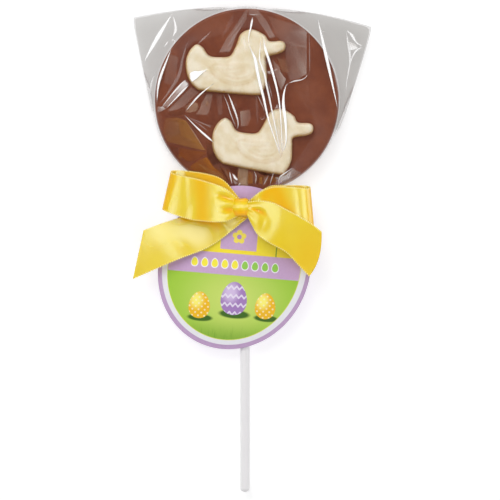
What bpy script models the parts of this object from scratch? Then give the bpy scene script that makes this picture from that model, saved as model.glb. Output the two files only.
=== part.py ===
"""Chocolate lollipop in a clear film bag, lying on its back with the shown side up.

A milk chocolate disc carries two white chocolate ducks and a white stick. A flat film bag
is drawn tight over them, gathered round the stick and tied with a satin ribbon bow, which
also holds an oval card tag. Origin: centre of the disc, on the bag's flat back.
+X is to the right of the shown side, +Y towards the top of the disc, +Z out of the front.
"""
import math

import bmesh
import bpy
from mathutils import Matrix, Vector

MM = 0.001

# Driving sizes of the chocolate and the stick.
DISC_RADIUS = 45.0 * MM
DISC_THICKNESS = 8.5 * MM
DISC_DRAFT = 0.6 * MM
DISC_ROUNDING = 2.2 * MM
DUCK_RELIEF = 4.5 * MM
STICK_RADIUS = 2.3 * MM
STICK_X = -0.9 * MM
STICK_END_Y = -190.9 * MM
STICK_DEPTH_IN_DISC = 30.0 * MM
STICK_SKIN = 0.7 * MM
DISC_BACK_BEVEL = 0.7 * MM

# Low ridge in the chocolate over the stick, from its tapered top down past the rim.
RIDGE_TOP_Y = -34.0 * MM
RIDGE_TAPER = 3.0 * MM
RIDGE_HALF_WIDTH = 3.4 * MM
RIDGE_HEIGHT = 0.35 * MM
RIDGE_ROOT = 1.6 * MM

# Film bag: wall, gap to what it holds, flat wings, tied neck and frill.
FILM_WALL = 0.4 * MM
GAP = 0.3 * MM
WING_LEVEL = 5.0 * MM
TIE_Y = -53.4 * MM
NECK_RADIUS = 4.4 * MM
SHOULDER_Y = -39.0 * MM
SHOULDER_HALF_WIDTH = 22.0 * MM
FRILL_END_Y = -80.0 * MM
FRILL_HALF_WIDTH = 21.0 * MM
FRILL_HALF_HEIGHT = 4.1 * MM
GATHERS = 9
NECK_GATHER_DEPTH = 0.08
FRILL_GATHER_DEPTH = 0.16

# The level top of the film over the ducks, its slope off the rim, and the curl of the wings.
TOP_MARGIN = 1.5 * MM
TOP_LIMIT = 42.0 * MM
SLOPE_LENGTH = 15.0 * MM
HUG_RADIUS = 46.5 * MM
WING_CURL = 2.6 * MM
WING_CURL_REACH = 24.0 * MM
WING_WAVE = 0.9 * MM

# Oval card tag, leaning to the right, with a punched hole behind the knot.
TAG_CENTRE = (-6.0 * MM, -81.4 * MM)
TAG_HALF_WIDTH = 36.5 * MM
TAG_HALF_LENGTH = 40.5 * MM
TAG_LEAN = math.radians(-25.2)
TAG_THICKNESS = 0.5 * MM
TAG_HOLE = (-2.6 * MM, TIE_Y)
TAG_HOLE_RADIUS = 3.4 * MM

# Satin ribbon.
RIBBON_THICKNESS = 0.6 * MM
BAND_WIDTH = 6.0 * MM
STEM_RADIUS = 1.7 * MM
PLEAT_DEPTH = 0.7 * MM
PLEAT_REACH = 14.0 * MM
RIGHT_END_BOW = 2.4 * MM
KNOT_CENTRE = Vector((-0.9 * MM, TIE_Y, 16.0 * MM))
KNOT_HALF_SIZE = Vector((4.0 * MM, 5.2 * MM, 3.2 * MM))

# Levels that follow from the sizes above.
DISC_BACK = FILM_WALL + GAP
DISC_FACE = DISC_BACK + DISC_THICKNESS
STICK_Z = DISC_FACE - STICK_RADIUS - STICK_SKIN
POCKET_RADIUS = DISC_RADIUS + 0.4 * MM
FILM_ON_DISC = DISC_FACE + GAP + FILM_WALL
DUCK_LIFT = DUCK_RELIEF + GAP
BAND_RADIUS = NECK_RADIUS + GAP + RIBBON_THICKNESS

AROUND = 72

# One duck, facing right, as points round its outline in millimetres.
DUCK_OUTLINE = [
    (-14.5, -17.9), (9.0, -18.2), (12.2, -16.3), (14.1, -10.2), (13.3, -3.2), (13.2, 0.6),
    (18.6, 2.6), (21.6, 4.6), (21.8, 7.6), (19.6, 9.1), (14.0, 8.6), (11.4, 11.4), (5.1, 13.7),
    (-0.2, 11.2), (-2.2, 5.4), (-4.6, 0.3), (-9.5, -0.8), (-14.8, -0.4), (-18.2, 3.4),
    (-21.6, 4.5), (-24.9, 0.6), (-26.0, -5.2), (-24.2, -12.2), (-20.0, -16.9),
]
# The folded wing on its side.
WING_OUTLINE = [
    (-13.0, -3.6), (-4.0, -3.4), (4.6, -2.6), (9.2, -6.2), (6.4, -11.8), (-1.0, -14.2), (-8.6, -12.4),
    (-13.4, -8.0),
]
# Centre in millimetres and turn in degrees of each duck on the disc.
DUCK_PLACES = {"duck_upper": (-3.5, 21.1, -3.9), "duck_lower": (9.6, -16.8, -9.9)}


def ease(t):
    """Smooth step from 0 to 1."""
    t = min(max(t, 0.0), 1.0)
    return t * t * (3.0 - 2.0 * t)


def spline(points, steps, closed=False):
    """Points of a Catmull-Rom curve through the given ones, with steps per span."""
    count = len(points)
    spans = count if closed else count - 1
    result = []
    for span in range(spans):
        around = []
        for k in (-1, 0, 1, 2):
            index = span + k
            around.append(points[index % count] if closed else points[min(max(index, 0), count - 1)])
        p0, p1, p2, p3 = (Vector(p) for p in around)
        for step in range(steps):
            t = step / steps
            result.append(0.5 * (2.0 * p1 + (p2 - p0) * t + (2.0 * p0 - 5.0 * p1 + 4.0 * p2 - p3) * t * t
                                 + (3.0 * p1 - p0 - 3.0 * p2 + p3) * t * t * t))
    if not closed:
        result.append(Vector(points[-1]))
    return result


def material(name, colour, roughness, alpha=1.0):
    """A Principled material with the part's own colour and roughness."""
    made = bpy.data.materials.new(name)
    made.use_nodes = True
    shader = made.node_tree.nodes["Principled BSDF"]
    shader.inputs["Base Color"].default_value = (*colour, 1.0)
    shader.inputs["Roughness"].default_value = roughness
    shader.inputs["Metallic"].default_value = 0.0
    shader.inputs["Alpha"].default_value = alpha
    made.diffuse_color = (*colour, alpha)
    return made


def add_object(name, build, finish=None):
    """A new object from a bmesh, with outward faces and smooth shading."""
    bmesh.ops.recalc_face_normals(build, faces=build.faces)
    mesh = bpy.data.meshes.new(name)
    build.to_mesh(mesh)
    build.free()
    mesh.shade_smooth()
    mesh.set_sharp_from_angle(angle=math.radians(40.0))
    made = bpy.data.objects.new(name, mesh)
    if finish is not None:
        mesh.materials.append(finish)
    bpy.context.scene.collection.objects.link(made)
    return made


def loft(rings):
    """A bmesh of quads between rings of equally many points, with a cap at each end."""
    build = bmesh.new()
    rows = [[build.verts.new(point) for point in ring] for ring in rings]
    for lower, upper in zip(rows, rows[1:]):
        for k in range(len(lower)):
            n = (k + 1) % len(lower)
            build.faces.new((lower[k], lower[n], upper[n], upper[k]))
    build.faces.new(rows[0])
    build.faces.new(rows[-1])
    return build


def circle(radius, sides, centre=(0.0, 0.0)):
    """Points round a circle in the plane."""
    turns = [2 * math.pi * k / sides for k in range(sides)]
    return [(centre[0] + radius * math.cos(turn), centre[1] + radius * math.sin(turn)) for turn in turns]


def combine(target, others, operation):
    """Apply one Boolean with each of the other objects in turn, and remove them."""
    for other in others:
        step = target.modifiers.new(operation.lower(), "BOOLEAN")
        step.operation = operation
        step.solver = "EXACT"
        step.object = other
        bpy.context.view_layer.update()
        evaluated = target.evaluated_get(bpy.context.evaluated_depsgraph_get())
        mesh = bpy.data.meshes.new_from_object(evaluated)
        target.modifiers.clear()
        old = target.data
        target.data = mesh
        mesh.name = target.name
        bpy.data.meshes.remove(old)
        bpy.data.objects.remove(other)
    return target


def tube_along_y(name, centre_x, centre_z, radius, y_from, y_to, sides=24):
    """A straight round bar along Y."""
    section = circle(radius, sides, (centre_x, centre_z))
    return add_object(name, loft([[(x, y, z) for x, z in section] for y in (y_from, y_to)]))


def duck_place(name):
    """The duck's transform on the disc's face, in metres."""
    x, y, turn = DUCK_PLACES[name]
    centre = (x * MM, y * MM, DISC_FACE + GAP)
    return Matrix.Translation(centre) @ Matrix.Rotation(math.radians(turn), 4, "Z")


def inset(points, distance):
    """The closed outline moved inwards along its own normals."""
    moved = []
    count = len(points)
    for k in range(count):
        along = (points[(k + 1) % count] - points[k - 1]).normalized()
        moved.append(points[k] + Vector((-along.y, along.x)) * distance)
    return moved


def relief(name, outline, steps, profile, place, finish):
    """A moulded relief: the outline drawn in step by step as it rises through the profile."""
    points = spline([Vector(p) * MM for p in outline], steps, closed=True)
    area = sum(a.x * b.y - b.x * a.y for a, b in zip(points, points[1:] + points[:1]))
    if area < 0.0:
        points.reverse()
    rings = []
    for distance, height in profile:
        rings.append([place @ Vector((p.x, p.y, height)) for p in inset(points, distance)])
    return add_object(name, loft(rings), finish)


def make_duck(name, finish):
    """A white chocolate duck in relief, with rounded edges and its folded wing standing proud."""
    place = duck_place(name)
    top = DUCK_RELIEF
    body_profile = [(0.0, 0.0), (0.35 * MM, 0.62 * top), (0.9 * MM, 0.84 * top), (1.9 * MM, 0.92 * top)]
    wing_profile = [(0.0, 0.5 * top), (0.0, 0.90 * top), (0.9 * MM, top)]
    duck = relief(name, DUCK_OUTLINE, 2, body_profile, place, finish)
    wing = relief(name + "_wing", WING_OUTLINE, 3, wing_profile, place, finish)
    return combine(duck, [wing], "UNION")


def ridge_arch(y, share):
    """One cross-section of the ridge over the stick, an arch at a share of its full size."""
    sides = 8
    height = RIDGE_ROOT + RIDGE_HEIGHT * share
    turns = [math.pi * k / sides for k in range(sides + 1)]
    return [(STICK_X + RIDGE_HALF_WIDTH * share * math.cos(turn), y,
             DISC_FACE - RIDGE_ROOT + height * math.sin(turn)) for turn in turns]


def make_disc(finish):
    """The moulded disc: drafted wall, rounded face edge, a low ridge over the stick and its socket."""
    top_radius = DISC_RADIUS - DISC_DRAFT
    profile = [(DISC_RADIUS - DISC_BACK_BEVEL, DISC_BACK), (DISC_RADIUS, DISC_BACK + DISC_BACK_BEVEL)]
    for k in range(5):
        angle = 0.5 * math.pi * k / 4
        profile.append((top_radius - DISC_ROUNDING * (1.0 - math.cos(angle)),
                        DISC_FACE - DISC_ROUNDING * (1.0 - math.sin(angle))))
    rings = [[(x, y, z) for x, y in circle(radius, AROUND)] for radius, z in profile]
    disc = add_object("chocolate_disc", loft(rings), finish)
    ridge = add_object("stick_ridge", loft([ridge_arch(*station) for station in (
        (RIDGE_TOP_Y, 0.35), (RIDGE_TOP_Y - 0.4 * RIDGE_TAPER, 0.8), (RIDGE_TOP_Y - RIDGE_TAPER, 1.0),
        (1.0 * MM - DISC_RADIUS, 1.0))]))
    combine(disc, [ridge], "UNION")
    socket = tube_along_y("stick_socket", STICK_X, STICK_Z, STICK_RADIUS + GAP,
                          -DISC_RADIUS + STICK_DEPTH_IN_DISC, -DISC_RADIUS - 5.0 * MM)
    return combine(disc, [socket], "DIFFERENCE")


def make_stick(finish):
    """The white stick, from its seat in the disc to its rounded end."""
    sides = 24
    dome = 0.8 * STICK_RADIUS
    start = -DISC_RADIUS + STICK_DEPTH_IN_DISC - GAP
    stations = [(start, 0.8), (start - 0.5 * MM, 1.0), (STICK_END_Y + dome, 1.0)]
    for k in range(1, 5):
        angle = 0.5 * math.pi * k / 4.6
        stations.append((STICK_END_Y + dome * (1.0 - math.sin(angle)), math.cos(angle)))
    rings = []
    for y, share in stations:
        rings.append([(x, y, z) for x, z in circle(STICK_RADIUS * share, sides, (STICK_X, STICK_Z))])
    return add_object("stick", loft(rings), finish)


# Film bag.

def hull(points):
    """Convex hull of points in the plane, anticlockwise."""
    ordered = sorted((p.x, p.y) for p in points)
    sides = []
    for run in (ordered, ordered[::-1]):
        chain = []
        for p in run:
            while len(chain) > 1 and ((chain[-1][0] - chain[-2][0]) * (p[1] - chain[-2][1])
                                      - (chain[-1][1] - chain[-2][1]) * (p[0] - chain[-2][0])) <= 0.0:
                chain.pop()
            chain.append(p)
        sides += chain[:-1]
    return sides


def reach(polygon, angle):
    """Distance from the origin to the polygon along a direction."""
    direction = (math.cos(angle), math.sin(angle))
    best = 0.0
    for (ax, ay), (bx, by) in zip(polygon, polygon[1:] + polygon[:1]):
        ex, ey = bx - ax, by - ay
        cross = direction[0] * ey - direction[1] * ex
        if abs(cross) < 1e-12:
            continue
        along = (ax * ey - ay * ex) / cross
        share = (ax * direction[1] - ay * direction[0]) / cross
        if along > 0.0 and -1e-9 <= share <= 1.0 + 1e-9:
            best = max(best, along)
    return best


def duck_hull():
    """The outline that the film bridges: the hull round both ducks."""
    points = []
    for name in DUCK_PLACES:
        place = duck_place(name)
        points += [place @ Vector((x * MM, y * MM, 0.0)) for x, y in DUCK_OUTLINE]
    return hull(points)


# Corners of the flat bag in millimetres. The top edge bows up between the wing tips.
WING_LEFT = (-55.2, 40.2)
WING_RIGHT = (60.6, 35.8)
TOP_PEAK = (-4.3, 45.9)
SIDE_LEFT = [(-54.8, 35.0), (-50.1, 11.8), (-47.6, 0.0), (-46.5, -6.0)]
SIDE_RIGHT = [(60.3, 33.0), (58.0, 24.6), (50.3, 0.0), (48.4, -6.0), (45.6, -13.0), (43.5, -17.0)]


def bag_outline():
    """The bag's outline above the tie: bowed top edge, straight sides, then round the disc's rim."""
    outline = [(x * MM, y * MM) for x, y in SIDE_RIGHT[::-1]]
    outline.append((WING_RIGHT[0] * MM, WING_RIGHT[1] * MM))
    steps = 10
    for tip, order in ((WING_RIGHT, 1), (WING_LEFT, -1)):
        span = tip[0] - TOP_PEAK[0]
        drop = TOP_PEAK[1] - tip[1]
        part = []
        for k in range(1, steps):
            share = 1.0 - k / steps
            part.append(((TOP_PEAK[0] + span * share) * MM, (TOP_PEAK[1] - drop * share * share) * MM))
        outline += part[::order]
    outline.append((WING_LEFT[0] * MM, WING_LEFT[1] * MM))
    outline += [(x * MM, y * MM) for x, y in SIDE_LEFT]
    return outline


def edge_radius(outline, angle):
    """The bag's edge in a direction, never closer than the film round the rim."""
    return max(HUG_RADIUS, reach(outline, angle))


def wing_level(x, y):
    """Height of the middle of the flat wings, which curl a little towards their tips."""
    out = max(0.0, math.hypot(x, y) - HUG_RADIUS) / WING_CURL_REACH
    lift = WING_CURL * ease(out)
    wave = WING_WAVE * math.sin(x / (7.0 * MM) + y / (11.0 * MM)) * ease(out * 1.6)
    return WING_LEVEL + (lift + wave) * (0.75 if x < 0.0 else 1.0)


def directions():
    """Evenly spaced directions round the disc, the nearest ones moved onto the wing tips."""
    step = 2 * math.pi / AROUND
    angles = [step * k for k in range(AROUND)]
    for tip in (WING_RIGHT, WING_LEFT):
        angle = math.atan2(tip[1], tip[0])
        angles[round(angle / step)] = angle
    return angles


def pouch_rings(outline, plateau):
    """Rows of (angle, radius, front height, back height), from the middle of the disc outwards."""
    rows = [[] for _ in range(9)]
    for angle in directions():
        flat = min(reach(plateau, angle) + TOP_MARGIN, TOP_LIMIT)
        edge = edge_radius(outline, angle)
        span = edge - POCKET_RADIUS
        fall = min(span, SLOPE_LENGTH)
        high = FILM_ON_DISC + DUCK_LIFT
        stations = [(0.5 * flat, high, 0.0), (flat, high, 0.0)]
        middle = 0.5 * (flat + POCKET_RADIUS)
        stations.append((middle, FILM_ON_DISC + 0.42 * DUCK_LIFT, 0.0))
        stations.append((POCKET_RADIUS, FILM_ON_DISC, 0.0))
        wrapped = 1.0 - ease((span - 1.5 * MM) / (9.0 * MM))
        for share in (0.3, 0.65, 1.0):
            radius = POCKET_RADIUS + fall * share
            level = wing_level(radius * math.cos(angle), radius * math.sin(angle))
            round_fall = math.sqrt(max(0.0, 1.0 - share * share))
            straight_fall = (1.0 - share) ** 1.4
            left = wrapped * round_fall + (1.0 - wrapped) * straight_fall
            front = level + FILM_WALL + (FILM_ON_DISC - level - FILM_WALL) * left
            back = (level - FILM_WALL) * (1.0 - left)
            stations.append((radius, front, back))
        for share in (0.5, 1.0):
            radius = POCKET_RADIUS + fall + (span - fall) * share + 0.1 * MM * share
            level = wing_level(radius * math.cos(angle), radius * math.sin(angle))
            stations.append((radius, level + FILM_WALL, level - FILM_WALL))
        for row, station in zip(rows, stations):
            row.append((angle, *station))
    return rows


def fan(build, centre, ring):
    """Triangles from a centre point to a ring."""
    middle = build.verts.new(centre)
    for k in range(len(ring)):
        build.faces.new((middle, ring[k], ring[(k + 1) % len(ring)]))


def pouch_shell(rows, front_drop, back_rise, name):
    """A closed body between the front and back heights of the rows."""
    build = bmesh.new()

    def ring(row, level):
        return [build.verts.new((radius * math.cos(angle), radius * math.sin(angle),
                                 front - front_drop if level == "front" else back + back_rise))
                for angle, radius, front, back in row]

    fronts = [ring(row, "front") for row in rows]
    backs = [ring(row, "back") for row in rows]
    fan(build, (0.0, 0.0, rows[0][0][2] - front_drop), fronts[0])
    fan(build, (0.0, 0.0, rows[0][0][3] + back_rise), backs[0])
    for stack in (fronts, backs):
        for inner, outer in zip(stack, stack[1:]):
            for k in range(AROUND):
                n = (k + 1) % AROUND
                build.faces.new((inner[k], inner[n], outer[n], outer[k]))
    for k in range(AROUND):
        n = (k + 1) % AROUND
        build.faces.new((fronts[-1][k], fronts[-1][n], backs[-1][n], backs[-1][k]))
    return add_object(name, build)


def neck_stations():
    """Stations of the gathered film along Y: y, half width, half height, middle height, gather depth."""
    band_edges = (TIE_Y + 0.5 * BAND_WIDTH + GAP, TIE_Y - 0.5 * BAND_WIDTH - GAP)
    steps = 6
    stations = []
    for k in range(steps):
        share = k / steps
        drawn_in = share ** 1.3
        y = SHOULDER_Y + (band_edges[0] - SHOULDER_Y) * share
        half_width = SHOULDER_HALF_WIDTH + (NECK_RADIUS - SHOULDER_HALF_WIDTH) * drawn_in
        half_height = 0.47 * FILM_ON_DISC + (NECK_RADIUS - 0.47 * FILM_ON_DISC) * drawn_in
        middle = 0.5 * FILM_ON_DISC + (STICK_Z - 0.5 * FILM_ON_DISC) * drawn_in
        stations.append((y, half_width, half_height, middle, NECK_GATHER_DEPTH * share))
    for y in band_edges:
        stations.append((y, NECK_RADIUS, NECK_RADIUS, STICK_Z, 0.0))
    for k in range(1, steps + 1):
        share = k / steps
        y = band_edges[1] + (FRILL_END_Y - band_edges[1]) * share
        half_width = NECK_RADIUS + (FRILL_HALF_WIDTH - NECK_RADIUS) * share ** 0.85
        half_height = NECK_RADIUS + (FRILL_HALF_HEIGHT - NECK_RADIUS) * share
        stations.append((y, half_width, half_height, STICK_Z, FRILL_GATHER_DEPTH * share ** 0.5))
    return stations


def neck_ring(station, shrink):
    """One gathered cross-section of the film, drawn in by the shrink distance."""
    y, half_width, half_height, middle, depth = station
    sides = 36
    ring = []
    for k in range(sides):
        angle = 2 * math.pi * k / sides
        wave = depth * math.cos(GATHERS * angle + 0.6)
        across = half_width * (1.0 + wave) - shrink
        high = half_height * (1.0 + 0.4 * wave) - shrink
        ring.append((STICK_X + across * math.cos(angle), y, middle + high * math.sin(angle)))
    return ring


def make_bag(finish):
    """The film bag: a pouch over the disc and ducks, two flat wings, the gathered neck and the frill."""
    outline = bag_outline()
    rows = pouch_rings(outline, duck_hull())
    bag = pouch_shell(rows, 0.0, 0.0, "bag_film")
    stations = neck_stations()
    neck = add_object("neck", loft([neck_ring(station, 0.0) for station in stations]))
    combine(bag, [neck], "UNION")
    pocket = pouch_shell(rows[:4], FILM_WALL, FILM_WALL, "pocket")
    channel = tube_along_y("channel", STICK_X, STICK_Z, STICK_RADIUS + GAP, SHOULDER_Y, TIE_Y - 10.0 * MM)
    mouth_stations = [station for station in stations if station[0] < TIE_Y - 6.0 * MM]
    end = mouth_stations[-1]
    mouth_stations.append((end[0] - 2.0 * MM, *end[1:]))
    mouth = add_object("mouth", loft([neck_ring(station, FILM_WALL) for station in mouth_stations]))
    combine(bag, [pocket, channel, mouth], "DIFFERENCE")
    bag.data.materials.clear()
    bag.data.materials.append(finish)
    return bag


# Card tag.

def tag_place():
    """The tag's frame: its upper part on the ribbon's band, its lower end laid on the stick."""
    low_y = TAG_CENTRE[1] - TAG_HALF_LENGTH
    top_level = STICK_Z + BAND_RADIUS + GAP
    low_level = STICK_Z + STICK_RADIUS + GAP
    slope = math.atan2(top_level - low_level, TIE_Y - low_y)
    height = low_level + (TAG_CENTRE[1] - low_y) * math.tan(slope)
    return Matrix.Translation((*TAG_CENTRE, height)) @ Matrix.Rotation(slope, 4, "X")


def make_tag(finish):
    """The oval card with a punched hole for the ribbon."""
    place = tag_place()
    lean = Matrix.Rotation(TAG_LEAN, 4, "Z")
    oval = [(TAG_HALF_WIDTH * x, TAG_HALF_LENGTH * y) for x, y in circle(1.0, AROUND)]
    rings = [[place @ lean @ Vector((x, y, z)) for x, y in oval] for z in (0.0, TAG_THICKNESS)]
    tag = add_object("tag", loft(rings), finish)
    hole = circle(TAG_HOLE_RADIUS, 24, (TAG_HOLE[0] - TAG_CENTRE[0], TAG_HOLE[1] - TAG_CENTRE[1]))
    punch_ends = (-1.0 * MM, TAG_THICKNESS + 1.0 * MM)
    punch_rings = [[place @ Vector((x, y, z)) for x, y in hole] for z in punch_ends]
    return combine(tag, [add_object("punch", loft(punch_rings))], "DIFFERENCE")


# Ribbon bow. Each station of a strip gives its upper edge (x, y, z) and lower edge (x, y, z)
# in millimetres. A loop runs out in front, turns at its end and comes back behind.
LEFT_LOOP = [
    ((-3.0, -49.8, 16.6), (-3.0, -55.6, 16.2)), ((-9.7, -43.8, 18.8), (-10.1, -58.6, 18.4)),
    ((-14.8, -41.7, 20.2), (-17.4, -58.9, 19.8)), ((-23.8, -39.0, 21.2), (-27.7, -57.7, 20.8)),
    ((-33.5, -36.9, 20.2), (-37.9, -54.4, 19.8)), ((-36.9, -35.4, 17.4), (-40.8, -52.6, 17.2)),
    ((-33.5, -34.6, 14.9), (-37.6, -52.2, 14.8)), ((-20.0, -36.2, 14.4), (-22.3, -54.0, 14.3)),
    ((-11.1, -39.6, 14.4), (-12.1, -55.0, 14.3)), ((-3.0, -49.0, 15.2), (-3.0, -54.8, 15.0)),
]
RIGHT_LOOP = [
    ((1.2, -49.8, 16.6), (1.2, -55.6, 16.2)), ((7.4, -44.6, 18.4), (7.4, -59.0, 18.0)),
    ((13.2, -42.7, 19.6), (14.2, -60.2, 19.2)), ((22.0, -42.9, 20.4), (23.4, -61.2, 20.0)),
    ((28.6, -43.4, 19.6), (30.1, -61.5, 19.2)), ((30.8, -42.9, 17.2), (32.4, -60.9, 17.0)),
    ((28.0, -42.0, 14.9), (29.6, -60.0, 14.8)), ((18.6, -41.8, 14.4), (19.6, -58.8, 14.3)),
    ((10.3, -42.6, 14.4), (10.3, -57.0, 14.3)), ((1.2, -49.0, 15.2), (1.2, -54.8, 15.0)),
]
LEFT_TAIL = [
    ((-2.2, -54.6, 14.7), (0.4, -57.0, 14.7)), ((-6.7, -56.4, 13.9), (-3.0, -59.6, 14.0)),
    ((-11.1, -56.8, 13.3), (-6.7, -62.6, 13.5)), ((-17.9, -56.9, 12.9), (-12.6, -67.3, 12.8)),
    ((-27.7, -57.4, 12.9), (-21.1, -72.4, 12.6)), ((-40.2, -60.2, 14.4), (-35.0, -77.8, 13.6)),
    ((-50.1, -63.7, 16.6), (-55.2, -86.7, 15.4)),
]
RIGHT_TAIL = [
    ((0.4, -49.9, 17.9), (0.2, -56.0, 17.4)), ((6.2, -49.4, 20.4), (2.8, -60.9, 18.6)),
    ((12.6, -50.4, 22.0), (5.6, -65.4, 19.2)), ((19.0, -53.6, 22.6), (11.3, -69.3, 19.8)),
    ((25.3, -57.1, 22.4), (19.0, -73.6, 19.6)), ((31.7, -60.9, 21.0), (24.4, -79.2, 18.4)),
    ((36.2, -64.4, 18.8), (30.4, -85.4, 16.6)),
]


def strip(name, stations, steps, end_bow=0.0):
    """A thick ribbon between two edge curves, pleated where it goes into the knot, its end bowed out."""
    across = 4
    upper = spline([Vector(a) * MM for a, b in stations], steps)
    lower = spline([Vector(b) * MM for a, b in stations], steps)
    knot = Vector((KNOT_CENTRE.x, KNOT_CENTRE.y))
    grid = []
    onward = (upper[-1] + lower[-1] - upper[-2] - lower[-2]).normalized()
    for i, (top, bottom) in enumerate(zip(upper, lower)):
        row = []
        bow = onward * end_bow * (i / len(upper)) ** 6
        for k in range(across + 1):
            share = k / across
            point = top.lerp(bottom, share) + bow * 4.0 * share * (1.0 - share)
            away = (Vector((point.x, point.y)) - knot).length
            pleat = PLEAT_DEPTH * (1.0 - ease(away / PLEAT_REACH)) * math.cos(math.pi * k)
            row.append(point + Vector((0.0, 0.0, pleat)))
        grid.append(row)
    rows = len(grid)
    faces = [[], []]
    for i in range(rows):
        for side in faces:
            side.append([])
        for j in range(across + 1):
            along = grid[min(i + 1, rows - 1)][j] - grid[max(i - 1, 0)][j]
            over = grid[i][min(j + 1, across)] - grid[i][max(j - 1, 0)]
            normal = along.cross(over).normalized() * (0.5 * RIBBON_THICKNESS)
            faces[0][i].append(grid[i][j] + normal)
            faces[1][i].append(grid[i][j] - normal)
    rings = [faces[0][i] + faces[1][i][::-1] for i in range(rows)]
    return add_object(name, loft(rings))


def make_bow(finish):
    """The tied ribbon: two loops, two tails, the knot, and the band round the neck behind the tag."""
    sides, levels = 16, 8
    knot_rings = []
    for i in range(levels + 1):
        polar = math.pi * (i + 0.35) / (levels + 0.7)
        ring = []
        for k in range(sides):
            angle = 2 * math.pi * k / sides
            ring.append(KNOT_CENTRE + Vector((
                KNOT_HALF_SIZE.x * math.sin(polar) ** 0.6 * math.cos(angle),
                -KNOT_HALF_SIZE.y * math.cos(polar),
                KNOT_HALF_SIZE.z * math.sin(polar) ** 0.6 * math.sin(angle))))
        knot_rings.append(ring)
    bow = add_object("ribbon_bow", loft(knot_rings), finish)
    band = tube_along_y("band", STICK_X, STICK_Z, BAND_RADIUS,
                        TIE_Y - 0.5 * BAND_WIDTH, TIE_Y + 0.5 * BAND_WIDTH)
    bore = tube_along_y("bore", STICK_X, STICK_Z, NECK_RADIUS + GAP, TIE_Y - BAND_WIDTH, TIE_Y + BAND_WIDTH)
    combine(band, [bore], "DIFFERENCE")
    stem_levels = (STICK_Z + BAND_RADIUS - 0.9 * MM, KNOT_CENTRE.z - 1.5 * MM)
    stem_section = circle(STEM_RADIUS, 12, TAG_HOLE)
    stem = add_object("stem", loft([[(x, y, z) for x, y in stem_section] for z in stem_levels]))
    pieces = [
        band, stem,
        strip("left_loop", LEFT_LOOP, 3), strip("right_loop", RIGHT_LOOP, 3),
        strip("left_tail", LEFT_TAIL, 2), strip("right_tail", RIGHT_TAIL, 2, RIGHT_END_BOW),
    ]
    combine(bow, pieces, "UNION")
    bow.data.materials.clear()
    bow.data.materials.append(finish)
    return bow


def main():
    for old in list(bpy.data.objects):
        bpy.data.objects.remove(old)
    milk = material("milk_chocolate", (0.165, 0.052, 0.024), 0.35)
    white = material("white_chocolate", (0.78, 0.66, 0.43), 0.45)
    plastic = material("white_plastic", (0.80, 0.79, 0.81), 0.4)
    film = material("clear_film", (0.85, 0.87, 0.88), 0.1, alpha=0.2)
    card = material("printed_card", (0.48, 0.31, 0.55), 0.55)
    satin = material("yellow_satin", (0.87, 0.56, 0.03), 0.4)
    make_disc(milk)
    for name in DUCK_PLACES:
        make_duck(name, white)
    make_stick(plastic)
    make_bag(film)
    make_tag(card)
    make_bow(satin)


main()
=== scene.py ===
import math

import bmesh
import bpy
import numpy as np
from mathutils import Matrix, Vector
from mathutils.geometry import convex_hull_2d, delaunay_2d_cdt


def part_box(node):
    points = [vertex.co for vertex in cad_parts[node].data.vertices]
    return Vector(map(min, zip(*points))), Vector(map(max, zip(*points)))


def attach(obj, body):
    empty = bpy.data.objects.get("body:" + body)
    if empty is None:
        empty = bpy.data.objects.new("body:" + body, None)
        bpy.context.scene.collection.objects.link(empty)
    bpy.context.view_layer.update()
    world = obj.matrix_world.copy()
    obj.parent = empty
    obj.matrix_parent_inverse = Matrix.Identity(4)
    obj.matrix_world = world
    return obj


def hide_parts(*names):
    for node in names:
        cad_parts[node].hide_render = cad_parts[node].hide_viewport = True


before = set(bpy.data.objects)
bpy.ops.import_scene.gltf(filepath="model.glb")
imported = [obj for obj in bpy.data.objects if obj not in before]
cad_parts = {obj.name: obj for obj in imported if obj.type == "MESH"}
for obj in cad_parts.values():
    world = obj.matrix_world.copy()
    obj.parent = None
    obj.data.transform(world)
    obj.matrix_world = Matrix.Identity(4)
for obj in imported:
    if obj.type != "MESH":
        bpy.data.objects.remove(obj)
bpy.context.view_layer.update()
scene = bpy.context.scene

# A chocolate lollipop in a tied film bag: the finish of its chocolate, film, card and ribbon.
# +X is to the right of the shown side, +Y towards the top of the disc, +Z out of the front.
MM = 0.001
TURN = 2.0 * math.pi

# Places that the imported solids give.
disc_low, disc_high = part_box("chocolate_disc")
duck_low, duck_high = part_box("duck_upper")
stick_low, stick_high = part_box("stick")
bag_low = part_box("bag_film")[0]

# The stick's ridge in the chocolate, and the moulded edges.
RIDGE_TOP_Y = -34.0 * MM
RIDGE_HALF_WIDTH = 3.4 * MM
RIDGE_HEIGHT = 0.35 * MM
DISC_DRAFT = 0.35 * MM
DISC_ROUNDING = 1.4 * MM
DISC_BACK_BEVEL = 0.7 * MM
UNEVEN_DEPTH = 0.07 * MM
UNEVEN_SIZE = 7.0 * MM
SKIN_DEPTH = 1.0 * MM    # the unevenness dies out this far below the face
DISC_RADIUS = disc_high.x
DISC_BACK = disc_low.z
DISC_FACE = disc_high.z - RIDGE_HEIGHT

GAP = 0.3 * MM
DUCK_RELIEF = duck_high.z - duck_low.z
STICK_RADIUS = 0.5 * (stick_high.x - stick_low.x)
STICK_X = 0.5 * (stick_high.x + stick_low.x)
STICK_Z = 0.5 * (stick_high.z + stick_low.z)

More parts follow.
